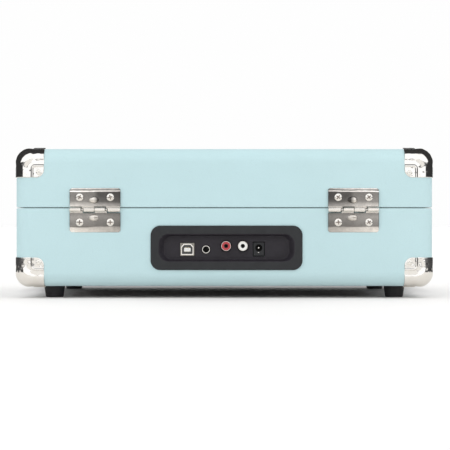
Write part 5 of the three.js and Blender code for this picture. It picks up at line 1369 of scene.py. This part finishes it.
g.add(turned([(0, -4.4), (0.85, -4.4), (0.85, 4.4), (0, 4.4)], 0.15, 20), 0, lambda p: (124.1 + p[0], -20 + p[2], 97.4 + p[1]))
clip = soften([(123.2, 97.8), (125.0, 97.8), (125.0, 109.2), (124.4, 109.9), (122.4, 109.9), (122.2, 107.4), (123.2, 106.6)], [0.3, 0.3, 0.6, 0.6, 0.5, 0.6, 0.8], 4)
g.add(plate2d([clip], -22.5, -17.5, 0.3, 3), 0, xz)
make("rest_clip_moulded", g, M_BLACK, "rest_clip", "rest_clip", angle=38)

# ------------------------------------------------------------------ internal nodes shown as they are, with their own metals, papers and plastics
for name, mat in (("circuit_board", M_BOARD), ("speaker_left", M_CONE), ("speaker_right", M_CONE), ("motor", M_MAGNET), ("drive_belt", M_BELT), ("speaker_lead", M_LEAD)):
    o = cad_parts[name]
    o.data.materials.clear()
    o.data.materials.append(mat)
    rim = o.modifiers.new("rims", "BEVEL")
    rim.width, rim.segments, rim.limit_method, rim.angle_limit = 0.00025, 2, "ANGLE", rad(42)

# ------------------------------------------------------------------ floor, sky and light
fm = Mat("studio_floor")
fcol = fm.mix(fm.mapr(fm.noise(3, 2, 0.5), 0.3, 0.7, 0, 1), (0.905, 0.895, 0.885), (0.92, 0.91, 0.90))
fx = fm.math("ABSOLUTE", fm.n("SeparateXYZ", Vector=fm.obj).outputs[0])
sp = fm.n("SeparateXYZ", Vector=fm.obj)
# painted shadow on the floor: grey under the front half of the case and a few centimetres in front of it, fading out
# over 3 cm
ex = fm.math("SUBTRACT", fm.math("ABSOLUTE", sp.outputs[0]), W2 / 1000)
ey = fm.math("SUBTRACT", fm.math("ABSOLUTE", sp.outputs[1]), (D2 + DY + 30) / 1000)
px, py = fm.math("MAXIMUM", fm.math("ADD", ex, 0.01), 0.0), fm.math("MAXIMUM", fm.math("ADD", ey, 0.01), 0.0)
edge = fm.math("SQRT", fm.math("ADD", fm.math("MULTIPLY", px, px), fm.math("MULTIPLY", py, py)))
painted_contact_shadow = fm.math("MULTIPLY", fm.mapr(edge, 0.0, 0.030, 1.0, 0.0), fm.mapr(sp.outputs[1], 0.02, -0.10, 0.0, 1.0))
fcol = fm.mix(painted_contact_shadow, fcol, (0.38, 0.38, 0.38))
# painted reflection: in reflections the floor is warm grey near the middle and almost black beyond 0.8 m to the sides
painted_floor_reflection = fm.mix(fm.mapr(fx, 0.5, 0.8, 0, 1), (0.76, 0.735, 0.69), (0.03, 0.03, 0.032))
fcol = fm.mix(fm.n("LightPath").outputs["Is Glossy Ray"], fcol, painted_floor_reflection)
fm.set(Base_Color=fcol, Roughness=fm.mapr(fm.noise(8, 2, 0.5), 0.3, 0.7, 0.62, 0.7))
me = bpy.data.meshes.new("floor")
F = 60.0
me.from_pydata([(-F, -F, 0), (F, -F, 0), (F, F, 0), (-F, F, 0)], [], [(0, 1, 2, 3)])
me.materials.append(fm.m)
floor = bpy.data.objects.new("studio_floor", me)
bpy.context.scene.collection.objects.link(floor)
floor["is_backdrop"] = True

world = bpy.data.worlds.new("studio")
bpy.context.scene.world = world
world.use_nodes = True
wt = world.node_tree
wt.nodes.clear()


def wn(kind, props=None, **inputs):
    node = wt.nodes.new("ShaderNode" + kind)
    for k, v in (props or {}).items():
        setattr(node, k, v)
    for k, v in inputs.items():
        s = node.inputs[int(k[1:])] if k[0] == "i" and k[1:].isdigit() else node.inputs[k.replace("_", " ")]
        if isinstance(v, (bpy.types.NodeSocket, bpy.types.Node)):
            wt.links.new(v.outputs[0] if isinstance(v, bpy.types.Node) else v, s)
        else:
            s.default_value = v
    return node


def wm(op, a, b=0.0, clamp=False):
    return wn("Math", {"operation": op, "use_clamp": clamp}, i0=a, i1=b).outputs[0]


def wr(v, a, b, c, d):
    return wn("MapRange", {"interpolation_type": "SMOOTHSTEP"}, i0=v, i1=a, i2=b, i3=c, i4=d).outputs[0]


geo_n = wn("TexCoord")
sep = wn("SeparateXYZ", Vector=geo_n.outputs["Generated"])
dx, dy, dz = sep.outputs[0], sep.outputs[1], sep.outputs[2]
# what the metal sees: bright walls ahead and behind, dark flags between them, a dark line at eye level to the sides
front = wr(dy, 0.22, 0.33, 0.0, 1.0)
rear = wr(wm("MULTIPLY", dy, -1.0), 0.86, 0.90, 0.0, 1.0)
bright = wm("MAXIMUM", front, rear)
side = wr(wm("ABSOLUTE", dx), 0.60, 0.78, 0.0, 1.0)
low = wr(dz, 0.04, 0.16, 1.0, 0.0)
bright = wm("MULTIPLY", bright, wm("SUBTRACT", 1.0, wm("MULTIPLY", side, low)))
glossy = wm("ADD", wm("MULTIPLY", bright, 1.12), 0.035)
diffuse = wm("MULTIPLY", wr(dz, 0.0, 0.9, 1.02, 1.40), wr(dy, -0.9, 0.7, 0.88, 1.02))
lp = wn("LightPath")
gloss_bg = wn("Background", Strength=glossy, Color=(1, 0.995, 0.985, 1))
diff_bg = wn("Background", Strength=diffuse, Color=(0.995, 0.998, 1.0, 1))
cam_bg = wn("Background", Strength=1.0, Color=(0.992, 0.992, 0.992, 1))
m1 = wn("MixShader", i0=lp.outputs["Is Glossy Ray"], i1=diff_bg, i2=gloss_bg)
m2 = wn("MixShader", i0=lp.outputs["Is Camera Ray"], i1=m1, i2=cam_bg)
out = wn("OutputWorld", Surface=m2)

# ------------------------------------------------------------------ sizes
lo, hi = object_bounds()
